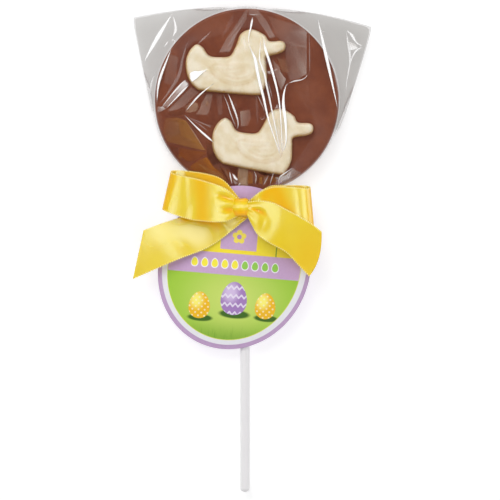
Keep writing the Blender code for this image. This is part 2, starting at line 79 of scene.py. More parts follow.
# Film bag.
FILM_ON_DISC = DISC_FACE + 0.45 * MM
FILM_ON_DUCKS = DISC_FACE + GAP + DUCK_RELIEF + 0.15 * MM
POCKET_RADIUS = DISC_RADIUS + 0.3 * MM
HUG_RADIUS = 46.4 * MM
WING_LEVEL = 5.0 * MM
WING_CURL = 2.6 * MM
WING_CURL_REACH = 24.0 * MM
WING_WAVE = 0.9 * MM
WAVE_LENGTHS = (7.0 * MM, 11.0 * MM)
LEFT_WING_SHARE = 0.75
SLOPE_LENGTH = 15.0 * MM
WRAP_SPANS = (1.5 * MM, 10.5 * MM)    # film that reaches less far wraps the disc's edge
TOP_MARGIN = 1.0 * MM
TOP_LIMIT = 42.0 * MM
LAYER_GAP = 0.2 * MM
FILM_GAP = 0.05 * MM
SEAL_WIDTH = 0.6 * MM
SEAL_FROM = 48.5 * MM
GATHERS = 17.0
GATHER_DEPTH = 1.1 * MM
GATHER_REACH = 32.0 * MM
GATHER_FADE = 24.0 * MM
GATHER_START = 9.0 * MM
TIE_Y = -53.4 * MM
NECK_TOP_Y = TIE_Y + 3.3 * MM
NECK_LOW_Y = TIE_Y - 3.3 * MM
NECK_RADIUS = 4.4 * MM
SHOULDER_Y = -39.0 * MM
SHOULDER_HALF_WIDTH = 22.0 * MM
FRILL_END_Y = bag_low.y
FRILL_HALF_WIDTH = 21.0 * MM
FRILL_HALF_HEIGHT = 4.1 * MM
FRILL_FOLDS = 9.0
FRILL_LAP = 1.2 * MM
BACK_LIFT_Y = -45.0 * MM
BACK_LIFT_OVER = 4.0 * MM
WING_LEFT = (-55.2 * MM, 40.2 * MM)
WING_RIGHT = (60.6 * MM, 35.8 * MM)
TOP_PEAK = (-4.3 * MM, 45.9 * MM)
SIDE_LEFT = [(-54.8, 35.0), (-50.1, 11.8), (-47.6, 0.0), (-46.5, -6.0)]
SIDE_RIGHT = [(60.3, 33.0), (58.0, 24.6), (50.3, 0.0), (48.4, -6.0), (45.6, -13.0), (43.5, -17.0)]

# Card tag: an oval that leans one way while its print leans the other.
TAG_CENTRE = (-6.0 * MM, -81.4 * MM)
TAG_HALF_WIDTH = 36.5 * MM
TAG_HALF_LENGTH = 40.5 * MM
TAG_LEAN = math.radians(-25.2)
PRINT_LEAN = math.radians(-4.9)
TAG_THICKNESS = 0.5 * MM
TAG_HOLE = (-2.6 * MM, TIE_Y)
TAG_HOLE_RADIUS = 3.4 * MM
BAND_THICKNESS = 0.6 * MM
BAND_RADIUS = NECK_RADIUS + GAP + BAND_THICKNESS

# The tag's print, along the card's own axes: fields, upright line, panel, rim and ring.
GREEN_HIGH_Y = -3.85 * MM
YELLOW_LOW_Y = 6.7 * MM
YELLOW_HIGH_Y = 23.0 * MM
LINE_X = 19.6 * MM
LINE_HALF_WIDTH = 0.3 * MM
PANEL_X = 1.1 * MM
PANEL_HALF_WIDTH = 8.8 * MM
PANEL_LOW_Y = 8.6 * MM
RIM_INSET = 2.1 * MM
RING_INSET = 4.9 * MM
RING_LINE_INSET = 5.2 * MM
LOWER_RING_LESS = 0.7 * MM
PRINT_SOFTNESS = 0.12 * MM
# Its shapes, in millimetres: place and half sizes.
FLOWER = (1.1, 15.0)
PETALS = 5
PETAL_PLACE = 2.1
PETAL_RADIUS = 1.45
FLOWER_EYE = 1.2
SMALL_EGGS = 9
YELLOW_EGGS = 5
SMALL_EGG = (-19.5, 1.4, 1.55, 2.1)
SMALL_EGG_PITCH = 4.9
EGG_TAPER = 0.16
LARGE_EGGS = ((-15.5, -19.5, 5.2, 6.6, "dots"), (1.0, -15.0, 6.4, 8.2, "bands"),
              (16.5, -17.5, 5.0, 6.4, "dots"))

# Ribbon.
RIBBON_WIDTH = 19.0 * MM
RIBBON_THICKNESS = 0.3 * MM
BAND_HALF_WIDTH = 3.0 * MM
STEM_RADIUS = 1.7 * MM
THREAD_PITCH = 0.25 * MM
PICOT_PITCH = 0.97 * MM
PICOT_SIZE = 0.6 * MM
KNOT_CENTRE = np.array([-2.8, -52.2, 16.3]) * MM
KNOT_HALF_SIZE = np.array([4.5, 4.4, 3.3]) * MM
KNOT_FOLDS = 1.7

# Camera: straight above the middle of the picture, far enough for a flat view.
PICTURE_CENTRE = (1.54 * MM, -72.9 * MM)
PICTURE_WIDTH = 243.4 * MM
PICTURE_LEVEL = 8.0 * MM    # where the picture is that wide
CAMERA_HEIGHT = 1.8
SENSOR = 36.0
FLOOR_HALF_SIZE = 3.0
FLOOR_DROP = 0.05 * MM
LIGHT_AIM = (0.0, -60.0 * MM, 5.0 * MM)
DAYLIGHT = 0.42
OVERHEAD = 0.12


def srgb(red, green, blue):
    """A colour read from 0 to 255, as linear light."""
    shares = [value / 255.0 for value in (red, green, blue)]
    return tuple(s / 12.92 if s <= 0.04045 else ((s + 0.055) / 1.055) ** 2.4 for s in shares)


# Curves and meshes.

def ease(t):
    """Smooth step from 0 to 1."""
    t = np.clip(t, 0.0, 1.0)
    return t * t * (3.0 - 2.0 * t)


def unit(vectors):
    """The vectors at length 1."""
    return vectors / np.linalg.norm(vectors, axis=-1, keepdims=True)


def leftward(ahead):
    """Unit vectors in the plane, square to the given ones and to their left."""
    ahead = unit(ahead)
    return np.stack([-ahead[:, 1], ahead[:, 0]], axis=1)


def full_turn(count):
    """Even angles all the way round."""
    return np.linspace(0.0, TURN, count, endpoint=False)


def ring(turns, y, half_width, half_height, centre_x=STICK_X, centre_z=STICK_Z):
    """A ring of points across the stick's line, or across another one along Y."""
    return np.c_[centre_x + half_width * np.cos(turns), np.broadcast_to(y, turns.shape),
                 centre_z + half_height * np.sin(turns)]


def spline(points, steps, closed=False):
    """Points of a Catmull-Rom curve through the given ones, with steps per span."""
    points = np.array(points, float)
    count, wide = points.shape
    index = np.arange(count if closed else count - 1) + np.arange(-1, 3)[:, None]
    index = index % count if closed else index.clip(0, count - 1)
    p0, p1, p2, p3 = points[index][:, :, None]
    t = (np.arange(steps) / steps)[:, None]
    curve = 0.5 * (2.0 * p1 + (p2 - p0) * t + (2.0 * p0 - 5.0 * p1 + 4.0 * p2 - p3) * t * t
                   + (3.0 * p1 - p0 - 3.0 * p2 + p3) * t ** 3)
    return np.concatenate([curve.reshape(-1, wide), points[:0] if closed else points[-1:]])


def along(points):
    """Distance from the start at each point of a line."""
    return np.concatenate([[0.0], np.cumsum(np.linalg.norm(np.diff(points, axis=0), axis=1))])


def evenly(points, pitch):
    """The line's points again, evenly spaced by about the pitch."""
    length = along(points)
    wanted = np.linspace(0.0, length[-1], max(2, int(round(length[-1] / pitch)) + 1))
    return np.stack([np.interp(wanted, length, points[:, k]) for k in range(points.shape[1])], axis=1)


def evenly_round(corners, pitch):
    """Points at an even pitch round a closed outline, its corners kept."""
    rows = []
    for start, end in zip(corners, np.roll(corners, -1, axis=0)):
        count = max(1, round(float(np.linalg.norm((end - start)[:2])) / pitch))
        rows += [start + (end - start) * k / count for k in range(count)]
    return np.array(rows)


def line_distance(x, y, line, closed=False):
    """Distance in the plane from every (x, y) to a line of points, and the share along it."""
    line = np.array(line, float)[:, :2]
    if closed:
        line = np.concatenate([line, line[:1]])
    length = along(line)
    best = np.full(np.shape(x), 1.0)
    where = np.zeros(np.shape(x))
    for k, ((ax, ay), (bx, by)) in enumerate(zip(line, line[1:])):
        ex, ey = bx - ax, by - ay
        share = np.clip(((x - ax) * ex + (y - ay) * ey) / max(ex * ex + ey * ey, 1e-16), 0.0, 1.0)
        apart = np.hypot(x - ax - share * ex, y - ay - share * ey)
        nearer = apart < best
        best = np.where(nearer, apart, best)
        where = np.where(nearer, length[k] + share * (length[k + 1] - length[k]), where)
    return best, where / length[-1]


def joined(count, first=0):
    """Pairs that join points, numbered from first, into a closed outline."""
    return [(first + k, first + (k + 1) % count) for k in range(count)]


TRIANGLES_INSIDE, OUTLINE_FACES = 1, 2


def filled(points, edges, kind):
    """Faces over points in the plane, bounded by closed outlines. Returns the points and faces."""
    found = delaunay_2d_cdt([Vector(p) for p in points], edges, [], kind, 1e-7)
    return np.array([tuple(v) for v in found[0]]), [list(face) for face in found[2]]


def inside(x, y, outline):
    """True where (x, y) lies inside the closed outline."""
    hit = np.zeros(np.shape(x), bool)
    for (ax, ay), (bx, by) in zip(outline, np.roll(outline, -1, axis=0)):
        crosses = (ay > y) != (by > y)
        hit ^= crosses & (x < (bx - ax) * (y - ay) / (by - ay if by != ay else 1.0) + ax)
    return hit


class Shape:
    """Grids of points gathered into one mesh, with named values at the points."""

    def __init__(self, *fields):
        self.points = []
        self.faces = []
        self.fields = {name: [] for name in fields}
        self.count = 0

    def add(self, points, faces, **values):
        """Points as rows of x, y, z, and faces that number them from 0."""
        self.points.append(points)
        self.faces += [[k + self.count for k in face] for face in faces]
        for name, store in self.fields.items():
            store.append(np.broadcast_to(values.get(name, 0.0), len(points)))
        self.count += len(points)

    def grid(self, grid, around=False, **values):
        """A grid of points with a face between each four; around joins the last column to the first."""
        rows, columns = grid.shape[:2]
        r = np.arange(rows - 1)[:, None] * columns
        c = np.arange(columns if around else columns - 1)[None, :]
        n = (c + 1) % columns
        faces = np.stack([r + c, r + n, r + n + columns, r + c + columns], axis=-1).reshape(-1, 4)
        flat = {name: np.broadcast_to(value, grid.shape[:2]).reshape(-1) for name, value in values.items()}
        self.add(grid.reshape(-1, 3), faces.tolist(), **flat)

    def surface(self, x, y, z, **values):
        """A grid from the x, y and z of its points."""
        self.grid(np.stack([x, y, z], axis=-1), **values)

    def lathe(self, rings, **values):
        """A closed body through rings of points, with both ends filled."""
        rings = np.array(rings)
        first = self.count
        self.grid(rings, around=True, **values)
        rows, columns = rings.shape[:2]
        self.faces.append([first + k for k in range(columns)])
        self.faces.append([first + (rows - 1) * columns + k for k in range(columns)])

    def piece(self, name, finish, replaced, slot, outward=True):
        """The finished object, riding on the part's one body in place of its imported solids."""
        mesh = bpy.data.meshes.new(name)
        mesh.from_pydata(np.concatenate(self.points).tolist(), [], self.faces)
        for field, store in self.fields.items():
            layer = mesh.attributes.new(field, "FLOAT", "POINT")
            layer.data.foreach_set("value", np.concatenate(store).astype(np.float32))
        if outward:
            build = bmesh.new()
            build.from_mesh(mesh)
            bmesh.ops.recalc_face_normals(build, faces=build.faces)
            build.to_mesh(mesh)
            build.free()
        mesh.shade_smooth()
        mesh.materials.append(finish)
        made = bpy.data.objects.new(name, mesh)
        scene.collection.objects.link(made)
        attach(made, "root")
        if replaced:
            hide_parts(*replaced)
        return made


def thicken(made, thickness, bevel=0.0):
    """Give a thin sheet its real thickness in the mesh itself, and bevel its edges if asked."""
    solid = made.modifiers.new("thickness", "SOLIDIFY")
    solid.thickness = thickness
    solid.offset = 0.0
    if bevel:
        edge = made.modifiers.new("edge", "BEVEL")
        edge.width = bevel
        edge.segments = 2
        edge.limit_method = "ANGLE"
    bpy.context.view_layer.update()
    evaluated = made.evaluated_get(bpy.context.evaluated_depsgraph_get())
    mesh = bpy.data.meshes.new_from_object(evaluated)
    made.modifiers.clear()
    made.data = mesh


# Materials.

def arithmetic(operation, swapped=False):
    """A method that adds one Math node for the field and what it is combined with."""
    def method(self, *others):
        terms = (*others, self) if swapped else (self, *others)
        return self.node("ShaderNodeMath", {"operation": operation}, dict(enumerate(terms)))
    return method


class Field:
    """One socket in a material's nodes. Arithmetic on fields adds Math nodes, so 1 - mask works."""

    __add__ = __radd__ = arithmetic("ADD")
    __mul__ = __rmul__ = arithmetic("MULTIPLY")
    __sub__ = arithmetic("SUBTRACT")
    __rsub__ = arithmetic("SUBTRACT", swapped=True)
    __truediv__ = arithmetic("DIVIDE")
    __pow__ = arithmetic("POWER")
    __abs__ = arithmetic("ABSOLUTE")
    least = arithmetic("MINIMUM")
    most = arithmetic("MAXIMUM")
    sine = arithmetic("SINE")

    def __init__(self, tree, socket=None):
        self.tree = tree
        self.socket = socket

    def node(self, kind, settings=None, values=None, out=0):
        """Add a node: its settings first, then its sockets' values or links. Returns one output."""
        made = self.tree.nodes.new(kind)
        for name, value in (settings or {}).items():
            setattr(made, name, value)
        for key, value in (values or {}).items():
            socket = made.inputs[key]
            if isinstance(value, Field):
                self.tree.links.new(value.socket, socket)
            elif socket.type == "RGBA":
                socket.default_value = (*value[:3], 1.0)
            else:
                socket.default_value = value
        return Field(self.tree, made.outputs[out])

    def smooth(self, low, high):
        """0 below low, 1 above high, and eased between. Low may be the larger one."""
        return self.node("ShaderNodeMapRange", {"interpolation_type": "SMOOTHSTEP"},
                         {"Value": self, "From Min": low, "From Max": high})

    def mix(self, colour_at_0, colour_at_1):
        """The colour between two, by this field."""
        return self.node("ShaderNodeMix", {"data_type": "RGBA"}, {0: self, 6: colour_at_0, 7: colour_at_1}, 2)

    def parts(self):
        """The x, y and z of a vector."""
        split = self.node("ShaderNodeSeparateXYZ", values={"Vector": self})
        return [Field(self.tree, socket) for socket in split.socket.node.outputs]

    def stretched(self, factors):
        return self.node("ShaderNodeVectorMath", {"operation": "MULTIPLY"}, {0: self, 1: factors})

    def place(self):
        """Where the point is on the piece, in metres."""
        return self.node("ShaderNodeTexCoord", out="Object")

    def stored(self, name):
        """A value that the mesh holds at its points."""
        return self.node("ShaderNodeAttribute", {"attribute_name": name}, out="Fac")

    def noise(self, place, grain, detail=3.0):
        """Cloudy noise from 0 to 1, with grains of a size in metres."""
        return self.node("ShaderNodeTexNoise",
                         values={"Vector": place, "Scale": 1.0 / grain, "Detail": detail})

    def bump(self, height, depth):
        """A normal from a height field, with its depth in metres."""
        return self.node("ShaderNodeBump", values={"Height": height, "Distance": depth, "Strength": 1.0})

    def principled(self, values):
        return self.node("ShaderNodeBsdfPrincipled", values=values)

    def transparent(self, colour):
        return self.node("ShaderNodeBsdfTransparent", values={"Color": colour})

    def layered(self, below, above):
        """The shader above over the one below, by this field."""
        return self.node("ShaderNodeMixShader", values={0: self, 1: below, 2: above})


def begin(name):
    """A new material with no nodes, ready for its fields."""
    material = bpy.data.materials.new(name)
    material.use_nodes = True
    material.node_tree.nodes.clear()
    return material, Field(material.node_tree)


def close(material, shader):
    """Put the shader on the material's surface."""
    output = material.node_tree.nodes.new("ShaderNodeOutputMaterial")
    material.node_tree.links.new(shader.socket, output.inputs["Surface"])
    return material


def milk_chocolate():
    """Moulded milk chocolate: a soft gloss, faint clouding, and the stick showing tan under its skin."""
    material, at = begin("milk_chocolate")
    place = at.place()
    x, y, z = place.parts()
    cloud = at.noise(place, 14 * MM).smooth(0.35, 0.68)
    speck = at.noise(place, 2.2 * MM).smooth(0.35, 0.75)
    brown = (cloud * 0.75 + speck * 0.25).mix(srgb(114, 54, 30), srgb(135, 71, 41))
    across = abs(x - (STICK_X - 0.8 * MM))
    tan = across.smooth(2.6 * MM, 1.9 * MM) * y.smooth(-32.0 * MM, -33.5 * MM) * z.smooth(7.0 * MM, 8.4 * MM)
    streak = at.noise(place.stretched((1.0, 0.12, 1.0)), 1.4 * MM)
    stripe = streak.mix(srgb(150, 110, 80), srgb(186, 152, 116))
    skin = (tan * 0.85).mix(brown, stripe)
    height = at.noise(place, 9 * MM, 2.0) * 0.8 + at.noise(place, 1.1 * MM, 2.0) * 0.06
    gloss = at.noise(place, 6 * MM).smooth(0.3, 0.7)
    shader = at.principled({
        "Base Color": skin, "Roughness": gloss * 0.12 + 0.36, "Specular IOR Level": 0.45,
        "Coat Weight": 0.15, "Coat Roughness": 0.25, "Normal": at.bump(height, 0.35 * MM)})
    return close(material, shader)


def white_chocolate():
    """Moulded white chocolate, ivory on top, with painted tan shade in its grooves, down its sides and along
    its lower edges.
    """
    material, at = begin("white_chocolate")
    place = at.place()
    z = place.parts()[2]
    # Painted shade: tan lower down the sides and at the foot, and where the mesh's stored shade marks grooves
    # and lower edges.
    low = z.smooth(duck_low.z + 0.92 * DUCK_RELIEF, duck_low.z + 0.70 * DUCK_RELIEF)
    foot = z.smooth(duck_low.z + 0.60 * DUCK_RELIEF, duck_low.z + 0.05 * DUCK_RELIEF)
    groove = at.stored("groove")
    cloud = at.noise(place, 5 * MM).smooth(0.3, 0.7)
    grains = at.noise(place, 0.9 * MM).smooth(0.45, 0.7)
    ivory = cloud.mix(srgb(248, 237, 214), srgb(235, 219, 184))
    shaded = ((low * 0.45 + groove * 0.55) * (grains * 0.5 + 0.6)).least(1.0).mix(ivory, srgb(210, 166, 88))
    skin = foot.mix(shaded, srgb(178, 130, 66))
    height = at.noise(place, 3.0 * MM) * 0.5 + at.noise(place, 0.8 * MM) * 0.2
    shader = at.principled({
        "Base Color": skin, "Roughness": 0.4, "Specular IOR Level": 0.45,
        "Subsurface Weight": 0.1, "Subsurface Radius": (0.004, 0.0025, 0.0015), "Subsurface Scale": 1.0,
        "Normal": at.bump(height, 0.15 * MM)})
    return close(material, shader)


def white_plastic():
    """The stick's plain white plastic with a faint drawn grain along it."""
    material, at = begin("white_plastic")
    place = at.place()
    grain = at.noise(place.stretched((1.0, 0.05, 1.0)), 0.8 * MM)
    cloud = at.noise(place, 20 * MM)
    skin = (grain * 0.6 + cloud * 0.4).mix(srgb(224, 222, 223), srgb(236, 234, 234))
    shader = at.principled({
        "Base Color": skin, "Roughness": grain * 0.1 + 0.36, "Specular IOR Level": 0.45,
        "Subsurface Weight": 0.2, "Subsurface Radius": (0.003, 0.003, 0.003), "Subsurface Scale": 1.0,
        "Normal": at.bump(grain, 0.04 * MM)})
    return close(material, shader)


def clear_film():
    """Clear crisp film: see-through, greyer where two layers lie flat, partly as painted shade, mirroring
    more at a slant.
    """
    material, at = begin("clear_film")
    place = at.place()
    crumple = at.noise(place, 9 * MM, 1.0) * 0.6 + at.noise(place, 2.4 * MM, 1.0) * 0.08
    normal = at.bump(crumple, 0.5 * MM)
    thin = at.transparent((0.965, 0.965, 0.965))
    # The greyer flat wings are partly real two-layer film and partly painted shade, and greyer towards the
    # right.
    dense_and_shaded = at.transparent((0.772, 0.762, 0.750))
    layers = at.stored("wing") * (place.parts()[0].smooth(-40.0 * MM, 50.0 * MM) * 0.2 + 0.8)
    clear = layers.layered(thin, dense_and_shaded)
    gloss = at.node("ShaderNodeBsdfGlossy", values={
        "Color": (1.0, 1.0, 1.0), "Roughness": 0.08, "Normal": normal})
    milky = at.principled({
        "Base Color": (0.95, 0.95, 0.96), "Roughness": 0.35, "Normal": normal})
    mirror = at.node("ShaderNodeFresnel", values={"IOR": 1.45, "Normal": normal})
    shiny = mirror.least(0.35).layered(clear, gloss)
    return close(material, at.stored("haze").least(0.9).layered(shiny, milky))


def film_crease_paint():
    """Pinched ridges and flat facets of the film, painted with light: white painted highlights, tan painted
    reflections, deep amber painted reflections of the ribbon, and dark painted shade.
    """
    material, at = begin("film_crease_paint")
    # Painted light by the stored tone: white highlights, tan and amber reflections, and dark shade.
    tone = at.stored("tone")
    clear = at.transparent((1.0, 1.0, 1.0))
    skin = (0.96, 0.95, 0.94)
    for low, high, colour in ((0.0, 0.3, srgb(188, 138, 70)), (0.3, 0.6, srgb(158, 84, 6)),
                              (0.6, 1.0, srgb(50, 24, 8))):
        skin = tone.smooth(low, high).mix(skin, colour)
    milky = at.principled({
        "Base Color": skin, "Roughness": 0.3, "Specular IOR Level": 0.15})
    return close(material, at.stored("glint").least(1.0).layered(clear, milky))


def yellow_satin():
    """Woven satin: broad pale gloss over deep yellow, with painted shade in folds, a painted orange glow
    where cloth shades cloth and painted pale highlights; fine threads, and pale looped edges.
    """
    material, at = begin("yellow_satin")
    place = at.place()
    thread = (at.stored("across") * (TURN / THREAD_PITCH)).sine()
    weft = (at.stored("run") * (TURN / THREAD_PITCH)).sine()
    cloud = at.noise(place, 6 * MM)
    yellow = (cloud + thread * weft * 0.2).mix(srgb(222, 187, 3), srgb(228, 198, 8))
    # Painted light: deeper shade in folds, an orange glow where cloth shades cloth, and pale highlights where
    # the amount is below 0.
    fold = at.stored("deep")
    deep = fold.least(1.0).most(0.0)
    for share, colour in ((deep, srgb(231, 174, 0)), (fold.smooth(1.0, 2.0), srgb(240, 160, 0)),
                          (fold.smooth(0.0, -1.0), srgb(243, 220, 126))):
        yellow = share.mix(yellow, colour)
    edge = at.stored("edge")
    between_loops = edge.smooth(0.0, -0.8).mix(yellow, srgb(206, 140, 2))
    skin = edge.smooth(0.0, 0.8).mix(between_loops, srgb(253, 240, 150))
    height = at.noise(place, 2.6 * MM, 1.0)
    painted_highlight = (0.0 - fold).most(0.0)
    roughness = (cloud * 0.05 + 0.22) * (1.0 - deep * 0.6) + painted_highlight * 0.12
    shader = at.principled({
        "Base Color": skin, "Roughness": roughness, "IOR": 1.5, "Specular IOR Level": 1.0,
        "Specular Tint": (0.55, 0.95, 0.85), "Normal": at.bump(height, 0.008 * MM)})
    return close(material, shader)


def printed_card():
    """Coated card: lilac rim, white ring, and a spring print of fields of colour and simple shapes."""
    material, at = begin("printed_card")
    place = at.place()
    x, y, z = place.parts()
    lean = TAG_LEAN - PRINT_LEAN
    card_x = (x * math.cos(lean) + y * math.sin(lean)) / TAG_HALF_WIDTH
    card_y = (y * math.cos(lean) - x * math.sin(lean)) / TAG_HALF_LENGTH
    level = (card_x * card_x + card_y * card_y) ** 0.5
    inset = (1.0 - level) * (0.5 * (TAG_HALF_WIDTH + TAG_HALF_LENGTH))

    def beyond(field, edge):
        """1 above an edge and 0 below it."""
        return field.smooth(edge - PRINT_SOFTNESS, edge + PRINT_SOFTNESS)

    def oval(cx, cy, half_width, half_height, taper=0.0):
        """Above 0 inside an oval, or with a taper inside an egg that is narrower at its top."""
        dy = (y - cy * MM) / (half_height * MM)
        dx = (x - cx * MM) / (half_width * MM)
        if taper:
            dx = dx * (dy * taper + 1.0)
        return 1.0 - (dx * dx + dy * dy) ** 0.5

    grain = at.noise(place, 0.9 * MM, 2.0)
    lilac = grain.mix(srgb(196, 160, 200), srgb(208, 176, 212))
    glow = oval(0.5, -16.0, 26.0, 20.0).smooth(-0.35, 0.9)
    shade = y.smooth(-24.0 * MM, -38.0 * MM)
    green = (glow * 0.75).mix(srgb(160, 203, 62), srgb(214, 228, 120))
    blades = at.noise(place.stretched((1.0, 0.14, 1.0)), 0.8 * MM, 2.0).smooth(0.5, 0.8)
    green = (shade * 0.6 + blades * shade * 0.3).mix(green, srgb(98, 150, 40))
    picture = beyond(y, GREEN_HIGH_Y).mix(green, lilac)
    yellow = grain.mix(srgb(245, 222, 44), srgb(250, 230, 66))
    upper_field = beyond(y, YELLOW_LOW_Y) * (1.0 - beyond(y, YELLOW_HIGH_Y))
    picture = upper_field.mix(picture, yellow)
    panel = (1.0 - beyond(abs(x - PANEL_X), PANEL_HALF_WIDTH)) * beyond(y, PANEL_LOW_Y)
    picture = panel.mix(picture, lilac)
    line = (1.0 - beyond(abs(x - LINE_X), LINE_HALF_WIDTH)) * upper_field
    picture = (line * 0.8).mix(picture, srgb(60, 140, 50))

    first_x, row_y, half_width, half_height = SMALL_EGG
    for k in range(SMALL_EGGS):
        shape = oval(first_x + SMALL_EGG_PITCH * k, row_y, half_width, half_height, EGG_TAPER)
        picture = shape.smooth(-0.22, -0.12).mix(picture, srgb(244, 240, 248))
        colour = srgb(250, 236, 70) if k < YELLOW_EGGS else srgb(150, 205, 84)
        picture = shape.smooth(0.0, 0.1).mix(picture, colour)
    for petal in range(PETALS):
        turn = TURN * petal / PETALS + 0.3
        shape = oval(FLOWER[0] + PETAL_PLACE * math.cos(turn), FLOWER[1] + PETAL_PLACE * math.sin(turn),
                     PETAL_RADIUS, PETAL_RADIUS)
        picture = shape.smooth(0.0, 0.12).mix(picture, srgb(246, 226, 92))
    picture = oval(*FLOWER, FLOWER_EYE, FLOWER_EYE).smooth(0.0, 0.12).mix(picture, srgb(176, 142, 196))

    for cx, cy, half_width, half_height, _ in LARGE_EGGS:
        foot = oval(cx + 0.8, cy - 0.93 * half_height, 1.35 * half_width, 0.3 * half_height)
        picture = foot.smooth(0.0, 0.3).mix(picture, srgb(66, 108, 34))
    for cx, cy, half_width, half_height, pattern in LARGE_EGGS:
        light = oval(cx - 0.3 * half_width, cy + 0.35 * half_height, half_width, half_height).smooth(0.1, 0.8)
        if pattern == "bands":
            body = light.mix(srgb(166, 128, 190), srgb(214, 192, 228))
            bands = (((y - cy * MM) / MM * 1.5) + ((x / MM * 2.4).sine() * 0.9)).sine().smooth(0.55, 0.75)
            body = (bands * 0.8).mix(body, srgb(240, 232, 246))
        else:
            body = light.mix(srgb(242, 186, 30), srgb(254, 242, 120))
            dots = ((x / MM * 2.1).sine() * (y / MM * 2.1).sine()).smooth(0.5, 0.7)
            body = (dots * 0.7).mix(body, srgb(255, 250, 210))
        picture = oval(cx, cy, half_width, half_height, EGG_TAPER).smooth(0.0, 0.03).mix(picture, body)

    from_rim = inset + card_y.smooth(0.0, -1.0) * LOWER_RING_LESS
    picture = (1.0 - beyond(from_rim, RING_LINE_INSET)).mix(picture, srgb(222, 224, 100))
    white = grain.mix(srgb(231, 230, 235), srgb(238, 237, 241))
    face = beyond(from_rim, RING_INSET).mix(white, picture)
    rim = grain.mix(srgb(184, 152, 190), srgb(196, 166, 202))
    face = beyond(inset, RIM_INSET).mix(rim, face)
    face = beyond(y, YELLOW_HIGH_Y).mix(face, lilac)
    back = grain.mix(srgb(186, 158, 202), srgb(196, 170, 212))
    skin = z.smooth(0.1 * MM, 0.2 * MM).mix(back, face)
    fibre = at.noise(place, 0.5 * MM, 4.0)
    shader = at.principled({
        "Base Color": skin, "Roughness": fibre * 0.08 + 0.48, "Specular IOR Level": 0.4,
        "Normal": at.bump(fibre, 0.02 * MM)})
    return close(material, shader)


# Chocolate.

def ripple(x, y, size, seed):
    """Gentle unevenness between -1 and 1, from a few crossing waves."""
    draw = np.random.default_rng(seed)
    total = 0.0
    for _ in range(6):
        turn, phase, stretch = draw.uniform(0.0, TURN, 2).tolist() + [draw.uniform(0.7, 1.4)]
        total = total + np.sin((x * math.cos(turn) + y * math.sin(turn)) * stretch / size + phase)
    return total / 6.0


def make_disc(finish):
    """The disc: drafted wall, rounded edges, an uneven poured face and the ridge over the stick."""
    around = full_turn(360)
    back_radius = DISC_RADIUS - DISC_BACK_BEVEL
    face_radius = DISC_RADIUS - DISC_DRAFT - DISC_ROUNDING
    low, high = np.linspace(0.0, 0.25 * TURN, 5), np.linspace(0.0, 0.25 * TURN, 13)
    backs, faces = np.linspace(0.02, 0.98, 8), np.linspace(0.985, 0.004, 60)
    radius = np.concatenate([
        backs * back_radius, back_radius + DISC_BACK_BEVEL * np.sin(low),
        face_radius + DISC_ROUNDING * np.cos(high), faces * face_radius])[:, None]
    level = np.concatenate([
        np.full_like(backs, DISC_BACK), DISC_BACK + DISC_BACK_BEVEL * (1.0 - np.cos(low)),
        DISC_FACE - DISC_ROUNDING * (1.0 - np.sin(high)), np.full_like(faces, DISC_FACE)])[:, None]
    x = radius * np.cos(around)
    y = radius * np.sin(around)
    face = ease((level - DISC_FACE + SKIN_DEPTH) / SKIN_DEPTH)
    uneven = UNEVEN_DEPTH * ripple(x, y, UNEVEN_SIZE, 3) * face
    across = np.clip(1.0 - ((x - STICK_X) / RIDGE_HALF_WIDTH) ** 2, 0.0, 1.0) ** 0.5
    ridge = RIDGE_HEIGHT * across * ease((RIDGE_TOP_Y + 1.5 * MM - y) / (3.0 * MM)) * face
    shape = Shape()
    shape.lathe(np.stack([x, y, level + uneven + ridge], axis=-1))
    return shape.piece("moulded_disc", finish, ["chocolate_disc"], "milk_chocolate")


# One duck, facing right, and its folded wing, in millimetres.
DUCK_OUTLINE = [
    (-14.5, -17.9), (9.0, -18.2), (12.2, -16.3), (14.1, -10.2), (13.3, -3.2), (13.2, 0.6),
    (18.6, 2.6), (21.6, 4.6), (21.8, 7.6), (19.6, 9.1), (14.0, 8.6), (11.4, 11.4), (5.1, 13.7),
    (-0.2, 11.2), (-2.2, 5.4), (-4.6, 0.3), (-9.5, -0.8), (-14.8, -0.4), (-18.2, 3.4),
    (-21.6, 4.5), (-24.9, 0.6), (-26.0, -5.2), (-24.2, -12.2), (-20.0, -16.9),
]
WING_OUTLINE = [
    (-13.0, -3.6), (-4.0, -3.4), (4.6, -2.6), (9.2, -6.2), (6.4, -11.8), (-1.0, -14.2), (-8.6, -12.4),
    (-13.4, -8.0),
]
DUCK_PLACES = {"duck_upper": (-3.5, 21.1, -3.9), "duck_lower": (9.6, -16.8, -9.9)}
# The rounded edge: how far in from the outline, in millimetres, and the share of the relief there.
EDGE_STEPS = (0.25, 0.5, 0.8, 1.15, 1.6, 2.1)
EDGE_RISE = (0.0, 0.56, 0.70, 0.80, 0.87, 0.91, 0.93, 0.945)
PLAIN_FROM = 4.0
WING_RISE = 0.05
FEATHER_RISE = 0.016
BODY_LINE_RISE = 0.011
DUCK_SUNK = 0.3 * MM
DUCK_PITCH = 0.55 * MM
FEATHER_PITCH = 2.1 * MM
BODY_LINE_PITCH = 3.1 * MM


